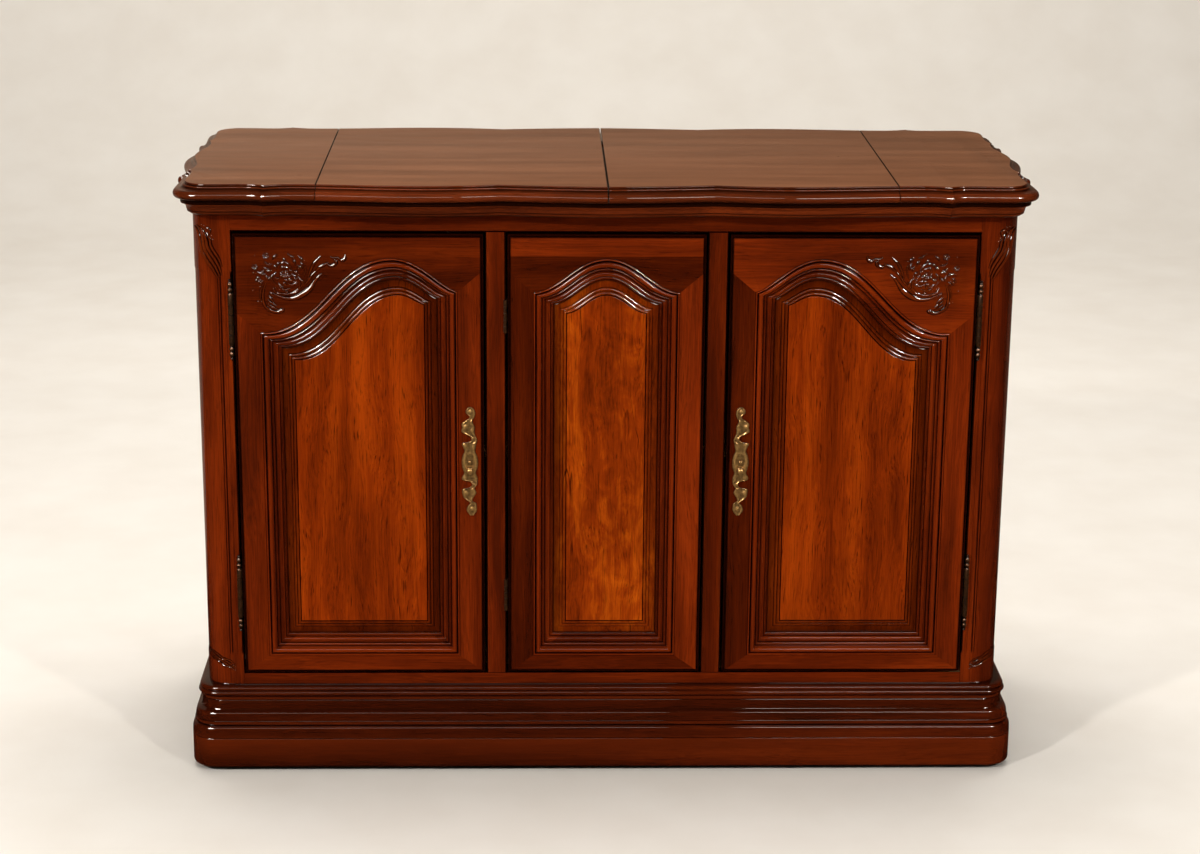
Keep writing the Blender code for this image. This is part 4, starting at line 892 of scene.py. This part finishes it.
# Pulls: height, scalloped edge and plain edge from the head down, in millimetres
PULL_STATIONS = (
    (84, -1.5, 3.0), (80, -5.4, 6.8), (75, -5.4, 8.4), (71, -1.4, 7.6), (67, -1.0, 6.0), (63, -7.0, 3.8),
    (58, -12.0, 5.4), (53, -11.4, 7.4), (47, -12.6, 7.0), (43, -8.0, 7.4), (39, 0.4, 8.8), (34, 2.2, 10.8),
    (30, -2.0, 10.4), (28, -11.6, 9.8), (23, -10.4, 9.0), (16, -8.0, 7.8), (9, -10.8, 10.5),
    (0, -12.3, 12.3), (-9, -11.4, 11.6), (-18, -8.8, 9.0), (-25, -12.2, 11.2), (-29, -10.8, 11.4),
    (-31, -1.0, 11.2), (-36, 3.0, 10.4), (-41, -0.5, 7.0), (-43, -11.0, 6.8), (-49, -11.8, 9.2),
    (-57, -9.0, 4.6), (-62, -2.6, 3.6), (-65, 0.2, 8.6), (-70, -4.0, 10.0), (-77, -5.2, 9.8),
    (-84, 0.0, 5.0))
# Raised spots of the relief: across, up, radius and height, in millimetres
PULL_BOSSES = (
    (0.6, 77, 4.2, 1.3), (2.4, 62, 3.0, 0.7), (-6.5, 54, 4.6, 1.2), (3.0, 48, 3.4, 0.6), (6.2, 36, 3.2, 0.9),
    (-6.0, 25, 4.2, 0.9), (4.0, 22, 4.0, 0.6), (-6.2, -25, 3.8, 0.9), (5.0, -22, 4.0, 0.6),
    (6.6, -36, 3.2, 0.9), (-6.0, -49, 4.4, 1.2), (3.0, -50, 3.2, 0.6), (1.0, -60, 2.6, 0.6),
    (3.0, -74, 4.6, 1.4))
PULL_THICK, PULL_SHIFT, KNOB_DROP = 0.0025, 0.0022, 0.013


def pull_height(across, up, share):
    """Height of the casting's face in millimetres: a rounded rim, a shallow dish, and bosses."""
    edge = min(share, 1 - share) * 2
    height = 1.1 + 1.5 * min(1.0, edge * 4) ** 0.5 - 1.0 * max(0.0, min(1.0, (edge - 0.3) * 3))
    for x, z, radius, rise in PULL_BOSSES:
        far = math.hypot(across - x, up - z) / radius
        if far < 1:
            height += rise * (1 - far * far) ** 1.5
    oval = math.hypot(across / 8.8, up / 13.5)
    height += 0.7 * math.exp(-((oval - 0.95) / 0.12) ** 2)
    return height


def pulls():
    for sign, word in ((-1, "left"), (1, "right")):
        low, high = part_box(word + "_pull")
        centre = (low.z + high.z) / 2
        middle = sign * (SIDE_DOOR_INNER + DOOR_STILE / 2 + PULL_SHIFT)
        face = DOOR_FACE_Y - FIT
        rings, glaze_and_shade = [], []
        columns = 20
        for up, left, right in curve(PULL_STATIONS, 4):
            ring, tone = [], []
            for i in range(columns + 1):
                share = i / columns
                across = left + (right - left) * share
                height = pull_height(across, up, share) if 0 < share < 1 else 0.9
                ring.append((middle - sign * across / 1000, face - height / 1000, centre + up / 1000))
                tone.append(max(-0.5, 1.1 - 0.48 * height))
            ring += [(middle - sign * right / 1000, face, centre + up / 1000),
                     (middle - sign * left / 1000, face, centre + up / 1000)]
            rings.append(ring)
            glaze_and_shade.append(tone + [0.8, 0.8])
        plate = skin(word + "_plate", rings, glaze_and_shade=glaze_and_shade, sharp=60)
        dome = profile((0.0001, 0.0110), ("out", (0.0046, 0.0086, -0.2), 6),
                       ("in", (0.0026, 0.0052, 0.3), 5), (0.0024, 0.0034, 0.7),
                       ("out", (0.0050, 0.0006, 0.2), 3))
        knob = turned(word + "_knob", dome, (middle, face - PULL_THICK + 0.001, centre - KNOB_DROP), "-Y")
        head = profile((0.0001, 0.0034), ("out", (0.0032, 0.0012, 0.6), 6), (0.0033, -0.0010))
        screw = turned(word + "_screw", head, (middle, face - PULL_THICK + 0.0006, centre - 0.0006), "-Y")
        made = merged("fine_%s_pull" % word, [plate, knob, screw])
        dress(made, word + "_door", brass, word + "_pull")


# Door hinges. A finial's section is in shares of the barrel's radius and of its own height.
FINIAL = (
    (1.0, 0.0), (0.62, 0.12), (1.05, 0.30), (0.60, 0.44), (1.0, 0.64), (0.45, 0.84), (0.70, 0.92),
    (0.25, 1.0))
# Barrels: radius, length and height of the finials
OUTER_BARREL, CENTRE_BARREL = (0.0035, 0.076, 0.023), (0.0025, 0.050, 0.0)
# Heights of the hinges, up from the door's foot and down from its head
OUTER_HEIGHTS, CENTRE_HEIGHTS = (0.1274, 0.1279), (0.1234, 0.1229)
# How far a pin stands past the side of its opening
OUTER_PIN, CENTRE_PIN = 0.0022, 0.0007
OPENING_X = CASE_X - POST_WIDTH
STILE_INNER_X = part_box("right_stile")[0].x
HINGE_LEAF_WIDTH, HINGE_LEAF_THICK, ARM_HALF, ARM_REACH = 0.016, 0.0010, 0.0008, 0.003
SCREW_SHARES = (0.18, 0.5, 0.82)


def knuckle(name, at, z0, z1, radius, finial=0.0, upward=True):
    """A stretch of barrel with eased ends, and a bead and ring finial beyond one end where asked."""
    ease = 0.0003
    body = [(radius - ease, z0, 0.7), (radius, z0 + ease, 0.0), (radius, z1 - ease, 0.0),
            (radius - ease, z1, 0.7)]
    if finial:
        tip = [(radius * r, h * finial, 0.7 if r < 0.8 else -0.2) for r, h in curve(FINIAL, 4)[1:]]
        if upward:
            body = body[:3] + [(r, z1 + h, g) for r, h, g in tip]
        else:
            body = [(r, z0 - h, g) for r, h, g in reversed(tip)] + body[1:]
    return turned(name, body, (*at, 0.0), "Z", 28)


def hinge_half(node, axis, barrel, height, edge, sense, on_case, body):
    """Half of a hinge: its leaf on an edge, its knuckles with the arms that carry them, and its screws."""
    (x, y), (radius, length, finial) = axis, barrel
    fifth = length / 5
    low = height - length / 2
    near = edge + sense * FIT
    plate = sorted((near, near + sense * HINGE_LEAF_THICK))
    back = y + radius
    pieces = [box_piece("plate", (plate[0], back + FIT, low + FIT),
                        (plate[1], -CASE_Y + HINGE_LEAF_WIDTH, low + length - FIT), 0.0002)]
    for number in range(0 if on_case else 1, 5, 2):
        z0, z1 = low + number * fifth + FIT / 2, low + (number + 1) * fifth - FIT / 2
        tip = finial if number in (0, 4) else 0.0
        pieces.append(knuckle("knuckle", (x, y), z0, z1, radius, tip, number == 4))
        reach = back + ARM_REACH
        pieces.append(box_piece("arm", (plate[0], y - ARM_HALF, z0 + FIT), (plate[1], reach, z1 - FIT)))
        if not on_case:
            xs = sorted((x, plate[0] if sense > 0 else plate[1]))
            pieces.append(box_piece("arm", (xs[0], y - ARM_HALF, z0 + FIT), (xs[1], y + ARM_HALF, z1 - FIT)))
    for share in SCREW_SHARES:
        head = profile((0.0001, 0.0002, 0.8), (0.0008, 0.0002, 0.8), (0.0012, 0.0003),
                       (0.0026, 0.0001), (0.0026, -0.0004))
        at = (plate[1] if sense > 0 else plate[0], back + HINGE_LEAF_WIDTH * 0.45, low + length * share)
        if sense < 0:
            head = [(r, -h, g) for r, h, g in head]
        pieces.append(turned("screw", head, at, "X", 20))
    dress(merged("fine_" + node, pieces), body, hinge_brass, node)


def hinges():
    outer_axis = (OPENING_X + OUTER_PIN, -CASE_Y - OUTER_BARREL[0] - FIT)
    centre_axis = (-(STILE_INNER_X + CENTRE_PIN), -CASE_Y - CENTRE_BARREL[0] - FIT)
    outer, centre = (OUTER_BARREL, OUTER_HEIGHTS), (CENTRE_BARREL, CENTRE_HEIGHTS)
    rows = (("left", (-outer_axis[0], outer_axis[1]), *outer, -OPENING_X, -SIDE_DOOR_OUTER, 1),
            ("right", outer_axis, *outer, OPENING_X, SIDE_DOOR_OUTER, -1),
            ("centre", centre_axis, *centre, -STILE_INNER_X, -CENTRE_DOOR_X, 1))
    for word, axis, barrel, (foot_at, head_at), post_edge, door_edge, inward in rows:
        for height, place in ((DOOR_BOTTOM + foot_at, "lower"), (DOOR_TOP - head_at, "upper")):
            name = "%s_%s_hinge" % (word, place)
            hinge_half(name + "_case_leaf", axis, barrel, height, post_edge, inward, True, "case")
            hinge_half(name + "_door_leaf", axis, barrel, height, door_edge, -inward, False, word + "_door")


# Carving, in millimetres in from the outer side and down from the top of a door or post
# Strokes: runs of (across, down, half width)
DOOR_STROKES = (
    ((47.9, 72.0, 0.4), (44.4, 82.1, 1.1), (43.0, 92.8, 1.3), (44.5, 103.5, 1.5), (48.8, 110.2, 1.7),
     (56.5, 114.6, 1.6), (64.3, 115.8, 1.9), (71.0, 112.6, 2.2), (72.0, 110.8, 0.8)),
    ((43.4, 74.8, 0.3), (39.7, 84.8, 0.8), (39.2, 92.8, 0.8), (42.0, 101.5, 0.3)),
    ((52.6, 84.8, 0.3), (55.3, 88.8, 1.2), (59.2, 92.4, 0.4)),
    ((50.2, 90.7, 0.3), (54.4, 96.1, 1.4), (60.2, 101.5, 0.4)),
    ((49.4, 96.5, 0.3), (54.9, 102.1, 1.4), (62.5, 107.2, 0.4)),
    ((50.0, 103.0, 0.3), (56.0, 108.3, 1.1), (64.0, 111.0, 0.3)),
    ((56.5, 87.0, 0.5), (70.1, 93.6, 1.3), (83.0, 95.4, 2.0), (94.8, 92.6, 2.8), (105.3, 86.0, 3.1),
     (113.3, 78.4, 2.4), (119.4, 68.9, 1.6), (124.0, 63.0, 1.3), (130.2, 58.0, 0.4)),
    ((62.1, 85.4, 0.3), (75.4, 89.2, 0.9), (85.8, 87.4, 1.0), (92.4, 83.3, 1.0), (96.5, 78.0, 0.8),
     (97.3, 68.0, 0.3)),
    ((101.0, 78.3, 0.3), (109.7, 68.6, 1.2), (115.0, 60.6, 1.0), (121.7, 53.3, 0.3)),
    ((108.4, 68.3, 0.3), (112.7, 54.6, 1.2), (118.3, 43.0, 1.5), (128.3, 32.0, 0.4)),
    ((118.0, 58.6, 0.4), (125.7, 49.3, 1.4), (132.9, 45.3, 1.5), (139.8, 41.5, 0.5)),
    ((135.5, 42.0, 0.5), (142.0, 46.6, 1.5), (148.4, 44.6, 1.8), (150.7, 39.9, 1.5), (147.9, 36.9, 0.6)),
    ((141.9, 32.4, 0.4), (146.7, 35.0, 1.0), (153.2, 34.4, 0.9), (158.0, 38.2, 1.5), (162.8, 36.2, 1.8),
     (164.1, 29.6, 0.5)))
# Short leaves and petals of the posy: three points and the half width of the middle one
POSY = (
    (73, 35, 75, 37, 78, 40, 1.2), (64, 46, 66, 43, 72, 41, 1.0), (60, 45, 62, 48, 65, 51, 1.3),
    (65, 47, 76, 41, 87, 52, 1.1), (82, 52, 85, 54, 87, 58, 0.9), (88, 54, 92, 56, 95, 62, 1.6),
    (86, 58, 88, 61, 91, 61, 1.0), (95, 48, 96, 50, 98, 53, 1.1), (94, 45, 98, 48, 102, 52, 1.0),
    (96, 32, 100, 36, 101, 40, 1.4), (61, 65, 64, 66, 68, 65, 1.6), (68, 60, 70, 62, 70, 65, 1.1),
    (72, 64, 74, 63, 76, 60, 1.2), (72, 71, 75, 73, 77, 78, 1.6), (75, 67, 77, 68, 80, 70, 1.0),
    (76, 58, 77, 57, 79, 54, 1.0), (89, 64, 91, 66, 94, 65, 1.0), (94, 62, 101, 72, 96, 82, 1.1),
    (98, 40, 101, 45, 103, 50, 0.9), (104, 43, 106, 52, 102, 65, 0.8), (58, 59, 56, 66, 63, 75, 1.0),
    (63, 56, 60, 60, 59, 65, 0.9), (66, 76, 74, 82, 84, 80, 1.1), (65, 72, 68, 76, 74, 78, 1.0),
    (79, 72, 87, 75, 93, 69, 1.2), (69, 53, 73, 48, 80, 50, 1.2), (68, 56, 71, 58, 75, 56, 1.2),
    (78, 60, 82, 62, 84, 65, 1.2), (81, 65, 83, 68, 87, 68, 1.2), (46, 49, 50, 51, 54, 51, 1.1),
    (48, 56, 51, 54, 55, 55, 1.1), (50, 68, 52, 66, 54, 63, 1.4), (42, 61, 44, 59, 48, 59, 1.0),
    (34, 65, 37, 64, 39, 66, 1.1), (35, 73, 38, 70, 41, 67, 1.3), (39, 75, 41, 72, 44, 69, 1.3),
    (32, 70, 34, 68, 35, 66, 1.0), (48, 61, 49, 64, 49, 68, 1.0), (75, 88, 78, 86, 80, 83, 1.7),
    (85, 88, 91, 86, 96, 81, 1.5), (62, 87, 68, 88, 75, 88, 1.0), (46, 40, 52, 45, 58, 44, 1.1),
    (80, 28, 84, 32, 90, 33, 1.0), (66, 30, 61, 33, 58, 38, 1.2), (86, 36, 90, 40, 91, 46, 1.2),
    (36, 56, 42, 57, 46, 53, 1.2), (104, 68, 102, 76, 98, 84, 0.8), (58, 78, 60, 84, 66, 90, 1.0))
# Across, down, radius, petals and turn
DOOR_ROSES = (
    (76.0, 59.5, 5.6, 5, 0.2), (48.5, 32.0, 4.6, 5, 0.6), (32.3, 48.7, 4.2, 5, 0.1),
    (91.0, 72.0, 3.6, 4, 0.4))
DOOR_BEADS = (
    (32.5, 31.3, 1.1), (29.4, 83.0, 1.4), (36.5, 100.0, 1.7), (41.6, 99.9, 1.7), (85.1, 43.1, 1.0),
    (90.7, 43.1, 1.0), (104.4, 38.8, 1.1), (63.1, 87.4, 1.2), (29.8, 56.8, 1.2), (33.6, 57.8, 1.1),
    (59.0, 33.5, 1.0), (40.0, 78.1, 1.1), (67.1, 82.0, 1.1), (53.8, 43.2, 1.1), (56.5, 54.0, 1.0),
    (61.5, 79.7, 1.1), (76.9, 26.8, 0.9), (96.0, 60.0, 1.0))
POST_STROKES = (
    ((4, 24, 0.5), (9, 28, 1.6), (12, 36, 2.1), (14, 48, 2.4), (17, 60, 2.5), (23, 72, 2.3), (31, 84, 1.9),
     (38, 98, 0.6)),
    ((8, 21, 0.4), (14, 27, 1.5), (17.5, 36, 1.9), (19, 48, 2.3), (22, 58, 2.3), (28, 69, 2.1),
     (35, 81, 1.7), (41, 96, 0.5)),
    ((14, 24, 0.4), (19, 30, 1.3), (22.5, 40, 1.8), (24, 50, 2.0), (28, 59, 2.0), (34, 69, 1.8),
     (40, 81, 1.4), (43.5, 94, 0.5)),
    ((24, 33, 0.3), (28, 41, 1.2), (29.5, 50, 1.5), (34, 59, 1.6), (40, 69, 1.3), (44.5, 81, 0.5)),
    ((19, 27, 0.5), (24, 24, 1.3), (28, 28, 1.5), (26, 33, 1.1), (23, 31, 0.7)))
POST_BEADS = (
    (30.4, 35.0, 1.4), (32.4, 40.6, 1.2), (15.0, 19.6, 1.3), (19.6, 20.6, 1.2))
POST_CARVING_TOP = CASE_TOP + 0.002
# Heights of the waving strokes at the foot of a post, as shares of their half width
FOOT_HEIGHTS = (0.9, 1.8, 1.2, 2.2)
# Of a stroke, in millimetres: its least half width, the line along its foot, its first step, and its root
LEAST_HALF, FOOT_LINE, STEP, ROOT = 0.25, 0.25, 0.3, 0.4
# Section of a stroke: place across and rise as shares of its half width, and glaze
STROKE_SIDE = ((1.3, 0.0, 0.8), (1.06, 0.0, 1.0), (0.94, 0.40, 0.9), (0.80, 0.62, 0.3), (0.36, 0.75, -0.1))
STROKE_SECTION = (*STROKE_SIDE, (0.0, 0.80, -0.1), *[(-u, rise, g) for u, rise, g in reversed(STROKE_SIDE)])
# Section of a bead: radius and rise as shares of its radius, and glaze
BEAD = ((1.0, -0.3, 0.9), (1.0, 0.1, 0.7), (0.92, 0.42, 0.0), (0.7, 0.75, -0.1), (0.4, 0.95, -0.3),
        (0.12, 1.0, -0.3))


def foot_stroke(number):
    """One of the waving strokes across the foot of a post."""
    run = []
    for a in range(4, 45, 2):
        down = -8.0 + 0.50 * a + 3.5 * number + 0.9 * math.sin(a / 3.2 + 1.7 * number)
        half = 0.5 + 0.8 * math.sin(math.pi * (a - 3.0) / 42.0) + 0.3 * math.sin(a / 1.4 + 2.0 * number)
        run.append((a, down, half))
    return run


def stroke(points, surface, height=1.25, widen=1.2):
    """A raised, rounded leaf stroke that follows a face, with a dark line along each foot, glazing and
    painted shade in the crease.
    """
    path = curve(points, 6)
    rings, glaze_and_shade = [], []
    for i, (a, b, half) in enumerate(path):
        before, after = path[max(0, i - 1)], path[min(len(path) - 1, i + 1)]
        side = Vector((before[1] - after[1], after[0] - before[0])).normalized()
        half = max(half * widen, LEAST_HALF)
        ring, tone = [], []
        for across, rise, tint in STROKE_SECTION:
            reach = half * across + math.copysign(FOOT_LINE * (abs(across) > 1.05), across)
            lift = half * height * rise + (STEP if rise > 0 else 0.03 if abs(across) > 1.2 else 0.0)
            ring.append(surface(a + side.x * reach, b + side.y * reach, lift))
            tone.append(tint)
        for across in (-1.2, 1.2):
            ring.append(surface(a + side.x * half * across, b + side.y * half * across, -ROOT))
            tone.append(0.9)
        rings.append(ring)
        glaze_and_shade.append(tone)
    return skin("stroke", rings, glaze_and_shade=glaze_and_shade, sharp=28)


def bead(a, b, radius, surface, height=1.0):
    rings = [[surface(a + radius * r * math.cos(t), b + radius * r * math.sin(t), radius * rise * height)
              for t in around(14)] for r, rise, _ in BEAD]
    return skin("bead", rings, glaze_and_shade=glaze_and_shade_of(BEAD), sharp=70)


def rose(a, b, radius, petals, turn, surface):
    """A flower: cupped petals in two rounds about a bead."""
    pieces = [bead(a, b, radius * 0.16, surface, 1.6)]
    for share, count, width in ((0.86, petals, 0.17), (0.46, petals - 1, 0.13)):
        for i in range(count):
            middle = turn + 2 * math.pi * (i + (share < 0.5) * 0.5) / count
            half_turn = math.pi / count * 0.86
            run = []
            for k in range(5):
                t = k / 4 * 2 - 1
                reach = radius * share * (1 - 0.34 * t * t)
                angle = middle + t * half_turn
                run.append((a + reach * math.cos(angle), b + reach * math.sin(angle),
                            radius * width * (1 - 0.75 * t * t) + 0.15))
            pieces.append(stroke(run, surface, 1.2, 1.0))
    return pieces


def carving():
    for sign, word in ((-1, "left"), (1, "right")):
        def door_face(a, b, rise):
            return (sign * (SIDE_DOOR_OUTER - a / 1000), DOOR_FACE_Y - rise / 1000, DOOR_TOP - b / 1000)

        pieces = [stroke(points, door_face, 1.5, 1.15) for points in DOOR_STROKES]
        for a, b, c, d, e, f, half in POSY:
            pieces.append(stroke(((a, b, 0.35), (c, d, half), (e, f, 0.35)), door_face, 1.9, 1.1))
        pieces += [bead(*spot, door_face) for spot in DOOR_BEADS]
        for a, b, radius, petals, turn in DOOR_ROSES:
            pieces += rose(a, b, radius, petals, turn, door_face)
        finish = wood(word + "_carving_wood", CARVED, "x", seed=14.2 + sign)
        dress(merged(word + "_door_carving", pieces), word + "_door", finish)

        def post_face(a, b, rise, top=POST_CARVING_TOP):
            u, fall, out = a / 1000, 0.0, Vector((0.0, 1.0))
            if u < POST_CORNER:
                far = POST_CORNER - u
                out = Vector((far, math.sqrt(max(0.0, POST_CORNER ** 2 - far ** 2))))
                fall = POST_CORNER - out.y
                out = out.normalized()
            x, y = CASE_X - u + out.x * rise / 1000, -CASE_Y + fall - out.y * rise / 1000
            return (sign * x, y, top - b / 1000)

        def foot_face(a, b, rise):
            return post_face(a, b, rise, REED_FOOT)

        pieces = [stroke(points, post_face, 1.4) for points in POST_STROKES]
        pieces += [bead(*spot, post_face) for spot in POST_BEADS]
        pieces += [stroke(foot_stroke(k), foot_face, tall, 1.0) for k, tall in enumerate(FOOT_HEIGHTS)]
        finish = wood(word + "_post_carving_wood", CARVED, "z", seed=16.2 + sign)
        dress(merged(word + "_post_carving", pieces), "case", finish)


# Inside fittings and casters
CATCH_HALF, CATCH_TALL, CATCH_GAP, CATCH_INSET = 0.020, 0.0145, 0.0020, 0.035
POLE_HALF, POLE_APART, POLE_LOW, POLE_HIGH = 0.0012, 0.011, 0.003, 0.0115
STRIKE_HALF, STRIKE_THICK, STRIKE_TALL, STRIKE_GAP = 0.018, 0.0008, 0.0135, 0.00005


def catches():
    """A magnetic catch behind the top rail of each opening, with its strike plate on the door."""
    rail_low, rail_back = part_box("top_rail")[0].z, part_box("top_rail")[1].y
    back = DOOR_FACE_Y + DOOR_THICK
    low = rail_low - CATCH_TALL
    side_x = SIDE_DOOR_INNER + CATCH_INSET
    for word, x in (("left", -side_x), ("centre", CENTRE_DOOR_X - CATCH_INSET), ("right", side_x)):
        def block(name, half, y0, y1, z0, z1, ease, off=0.0):
            return box_piece(name, (x + off - half, back + y0, z0), (x + off + half, back + y1, z1), ease)

        body = block(word + "_catch", CATCH_HALF, CATCH_GAP, rail_back - back, low, rail_low - FIT, 0.0012)
        dress(body, "case", catch_plastic)
        near, far = CATCH_GAP / 2, CATCH_GAP * 1.5
        poles = [block("pole", POLE_HALF, near, far, low + POLE_LOW, low + POLE_HIGH, 0.0003, off)
                 for off in (-POLE_APART, POLE_APART)]
        dress(merged(word + "_catch_poles", poles), "case", zinc)
        strike = block(word + "_strike_plate", STRIKE_HALF, STRIKE_GAP, STRIKE_THICK, low,
                       low + STRIKE_TALL, 0.0003)
        dress(strike, word + "_door", zinc)


def wheels():
    """Rubber wheels with eased rims and a shallow hollow round the hub."""
    for place in ("front_left", "front_right", "rear_left", "rear_right"):
        low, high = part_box(place + "_caster_wheel")
        at = (low + high) / 2
        outer, half = (high.z - low.z) / 2, (high.x - low.x) / 2
        rows = profile((0.0046, half - 0.0020, 0.3), (0.0120, half - 0.0034), (0.0140, half - 0.0006, 0.5),
                       (0.0180, half), ("out", (outer, half - 0.0036), 6))
        rows += [(r, -h, g) for r, h, g in reversed(rows)]
        rings = [[(at.x + h, at.y + r * math.cos(t), at.z + r * math.sin(t)) for t in around(48)]
                 for r, h, _ in rows]
        made = skin("fine_%s_wheel" % place, rings, True, glaze_and_shade_of(rows))
        dress(made, place + "_wheel", rubber, place + "_caster_wheel")


BOTTOM_GAP_SHADE, BOTTOM_RAIL_DEPTH = 0.0018, 0.025


def finish_solids():
    """Finishes for the solids that stay. The rail under the doors is the front edge of the floor."""
    red = ("top_rail", "left_stile", "right_stile", "left_side_panel", "right_side_panel")
    nodes = ("case_floor", *red, "back_panel", "left_partition", "right_partition", "left_shelf",
             "centre_shelf", "right_shelf")
    # The right stile darker down its middle, as painted shade, and the top rail darker about its middle
    stains_and_shade = {"right_stile": ((0.163, 0.5, 0.10, 0.8, 0.35),), "top_rail": ((0.08, 0.85, 0.5, 0.12, 0.45),)}
    for number, node in enumerate(nodes):
        low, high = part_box(node)
        # Lines of painted shade along the door openings, under the top rail and beside each stile
        shade_and_joint_lines = {"rail": (("z", low.z),), "stile": (("x", low.x), ("x", high.x))}
        finish = wood(node + "_wood", RED if node in red else PLAIN,
                      "z" if node.endswith(("stile", "side_panel", "partition")) else "x", None,
                      40.0 + number * 1.9, stains_and_shade.get(node, ()), shade_and_joint_lines.get(node.split("_")[-1], ()))
        dress_solid(node, finish, 0.0008 if node.endswith(("side_panel", "shelf")) else 0.0006)
    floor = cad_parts["case_floor"]
    # A line of painted shade on the floor's front rail, along the gap under the doors
    shade_and_joint_lines = (("z", DOOR_BOTTOM - BOTTOM_GAP_SHADE),)
    floor.data.materials.append(wood("bottom_rail_wood", RED, "x", seed=61.0, shade_and_joint_lines=shade_and_joint_lines))
    for face in floor.data.polygons:
        if face.center.y < -CASE_Y + BOTTOM_RAIL_DEPTH:
            face.material_index = 1
    dress_solid("serving_surface", laminate, 0.0003)
    for side in ("left", "right"):
        for place in ("front", "rear"):
            for where in ("end", "leaf"):
                dress_solid("%s_%s_%s_barrel" % (side, place, where), zinc, 0.0)
            dress_solid("%s_%s_caster_fork" % (place, side), zinc, 0.0005)


def dress_solid(node, material, ease):
    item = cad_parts[node]
    item.data.materials.clear()
    item.data.materials.append(material)
    if ease:
        bevel = item.modifiers.new("eased", "BEVEL")
        bevel.width = ease
        bevel.segments = 2
        bevel.limit_method = "ANGLE"
        bevel.angle_limit = math.radians(50)


# Stage, light and camera
FOCAL = 2591.0
IMAGE_WIDTH = 1200
CAMERA_AT = Vector((-0.107, -3.9119, 1.627))
YAW, PITCH, ROLL = 1.53, 16.31, 0.474


def camera():
    data = bpy.data.cameras.new("camera")
    data.sensor_width = 36.0
    data.lens = FOCAL / IMAGE_WIDTH * data.sensor_width
    made = link("camera", data)
    turn = Matrix.Rotation(-math.radians(YAW), 4, "Z") @ Matrix.Rotation(math.radians(90 - PITCH), 4, "X")
    made.matrix_world = Matrix.Translation(CAMERA_AT) @ turn @ Matrix.Rotation(math.radians(ROLL), 4, "Z")
    bpy.context.scene.camera = made


def stage():
    """A pale floor that sweeps up behind. Reflections see it darker, and deep brown in front."""
    size, back, rise, bend = 14.0, 5.0, 6.0, 1.5
    section = [(-size, 0.0), (back - bend, 0.0)]
    section += [(back - bend + bend * math.sin(a), bend - bend * math.cos(a)) for a in
                [math.pi / 2 * i / 12 for i in range(1, 13)]] + [(back, rise)]
    verts = [(x, y, z) for x in (-size, size) for y, z in section]
    count = len(section)
    faces = [(i, i + 1, count + i + 1, count + i) for i in range(count - 1)]
    floor = mesh_piece("floor_sweep", verts, faces)
    n = Nodes(bpy.data.materials.new("floor_pale"))
    tone = n.ramp(n.noise(n.point(), 6.0, 3.0), ((0.3, srgb(236, 229, 219)), (0.7, srgb(241, 235, 226))))
    x, y, _ = n.place()
    behind = n.mix(((x + 1.4) * 0.36).held(), srgb(158, 140, 124), srgb(92, 80, 68))
    mirrored = n.mix(y < 0.5, behind, srgb(20, 9, 4))
    glossy = n.add("ShaderNodeLightPath").outputs["Is Glossy Ray"]
    n.set(Base_Color=n.mix(glossy, tone, mirrored), Roughness=0.8, Specular_IOR_Level=0.0)
    floor.data.materials.append(n.owner)


WARM, SOFT, AMBER = (1.0, 0.97, 0.93), (1.0, 0.98, 0.95), (1.0, 0.93, 0.84)
# Lamps: name, place, aim, size and power. Reflections show no soft lamp, and glints show only there.
LAMPS = (
    ("key", (-3.2, -3.6, 3.0), (0.0, 0.0, 0.5), (0.28, 0.28), 105.0),
    ("fill", (2.6, -3.9, 3.0), (0.0, 0.0, 0.5), (0.25, 0.25), 62.0))
SOFT_LAMPS = (
    ("overhead", (0.0, 0.4, 3.6), (0.0, 0.0, 0.8), (2.4, 1.6), 90.0),
    ("ceiling", (0.0, -4.6, 4.4), (0.0, 0.0, 0.4), (4.0, 2.4), 95.0),
    ("backdrop", (0.0, 1.6, 4.6), (0.0, 5.0, 1.2), (5.0, 1.0), 105.0))
GLINTS = (
    ("left_glint", (-2.9, -3.9, 2.8), (-0.3, 0.0, 0.4), (2.0, 1.3), 330.0),
    ("right_glint", (2.3, -4.2, 3.1), (0.3, 0.0, 0.4), (3.4, 0.5), 90.0),
    ("right_spark", (3.0, -3.9, 3.0), (0.3, 0.0, 0.4), (0.6, 0.5), 90.0),
    ("front_glint", (-0.8, -4.2, 3.1), (-0.3, 0.0, 0.4), (2.4, 0.3), 19.0))


def area(colour, name, at, toward, size, power):
    data = bpy.data.lights.new(name, "AREA")
    data.shape = "RECTANGLE"
    data.size, data.size_y = size
    data.energy = power
    data.color = colour
    made = link(name, data)
    made.location = at
    made.rotation_euler = (Vector(toward) - Vector(at)).to_track_quat("-Z", "Y").to_euler()
    return made


def lights():
    for row in LAMPS:
        area(WARM, *row)
    for row in SOFT_LAMPS:
        area(SOFT, *row).visible_glossy = False
    for row in GLINTS:
        area(AMBER, *row).visible_diffuse = False
    n = Nodes(bpy.data.worlds.new("studio"), "Background")
    glossy = n.add("ShaderNodeLightPath").outputs["Is Glossy Ray"]
    n.set(Color=n.mix(glossy, (1.0, 0.97, 0.94), (0.016, 0.010, 0.007)), Strength=0.05)
    bpy.context.scene.world = n.owner
    bpy.context.scene.view_settings.view_transform = "Standard"


top()
foot()
posts()
doors()
pulls()
hinges()
carving()
catches()
wheels()
finish_solids()
camera()
stage()
lights()
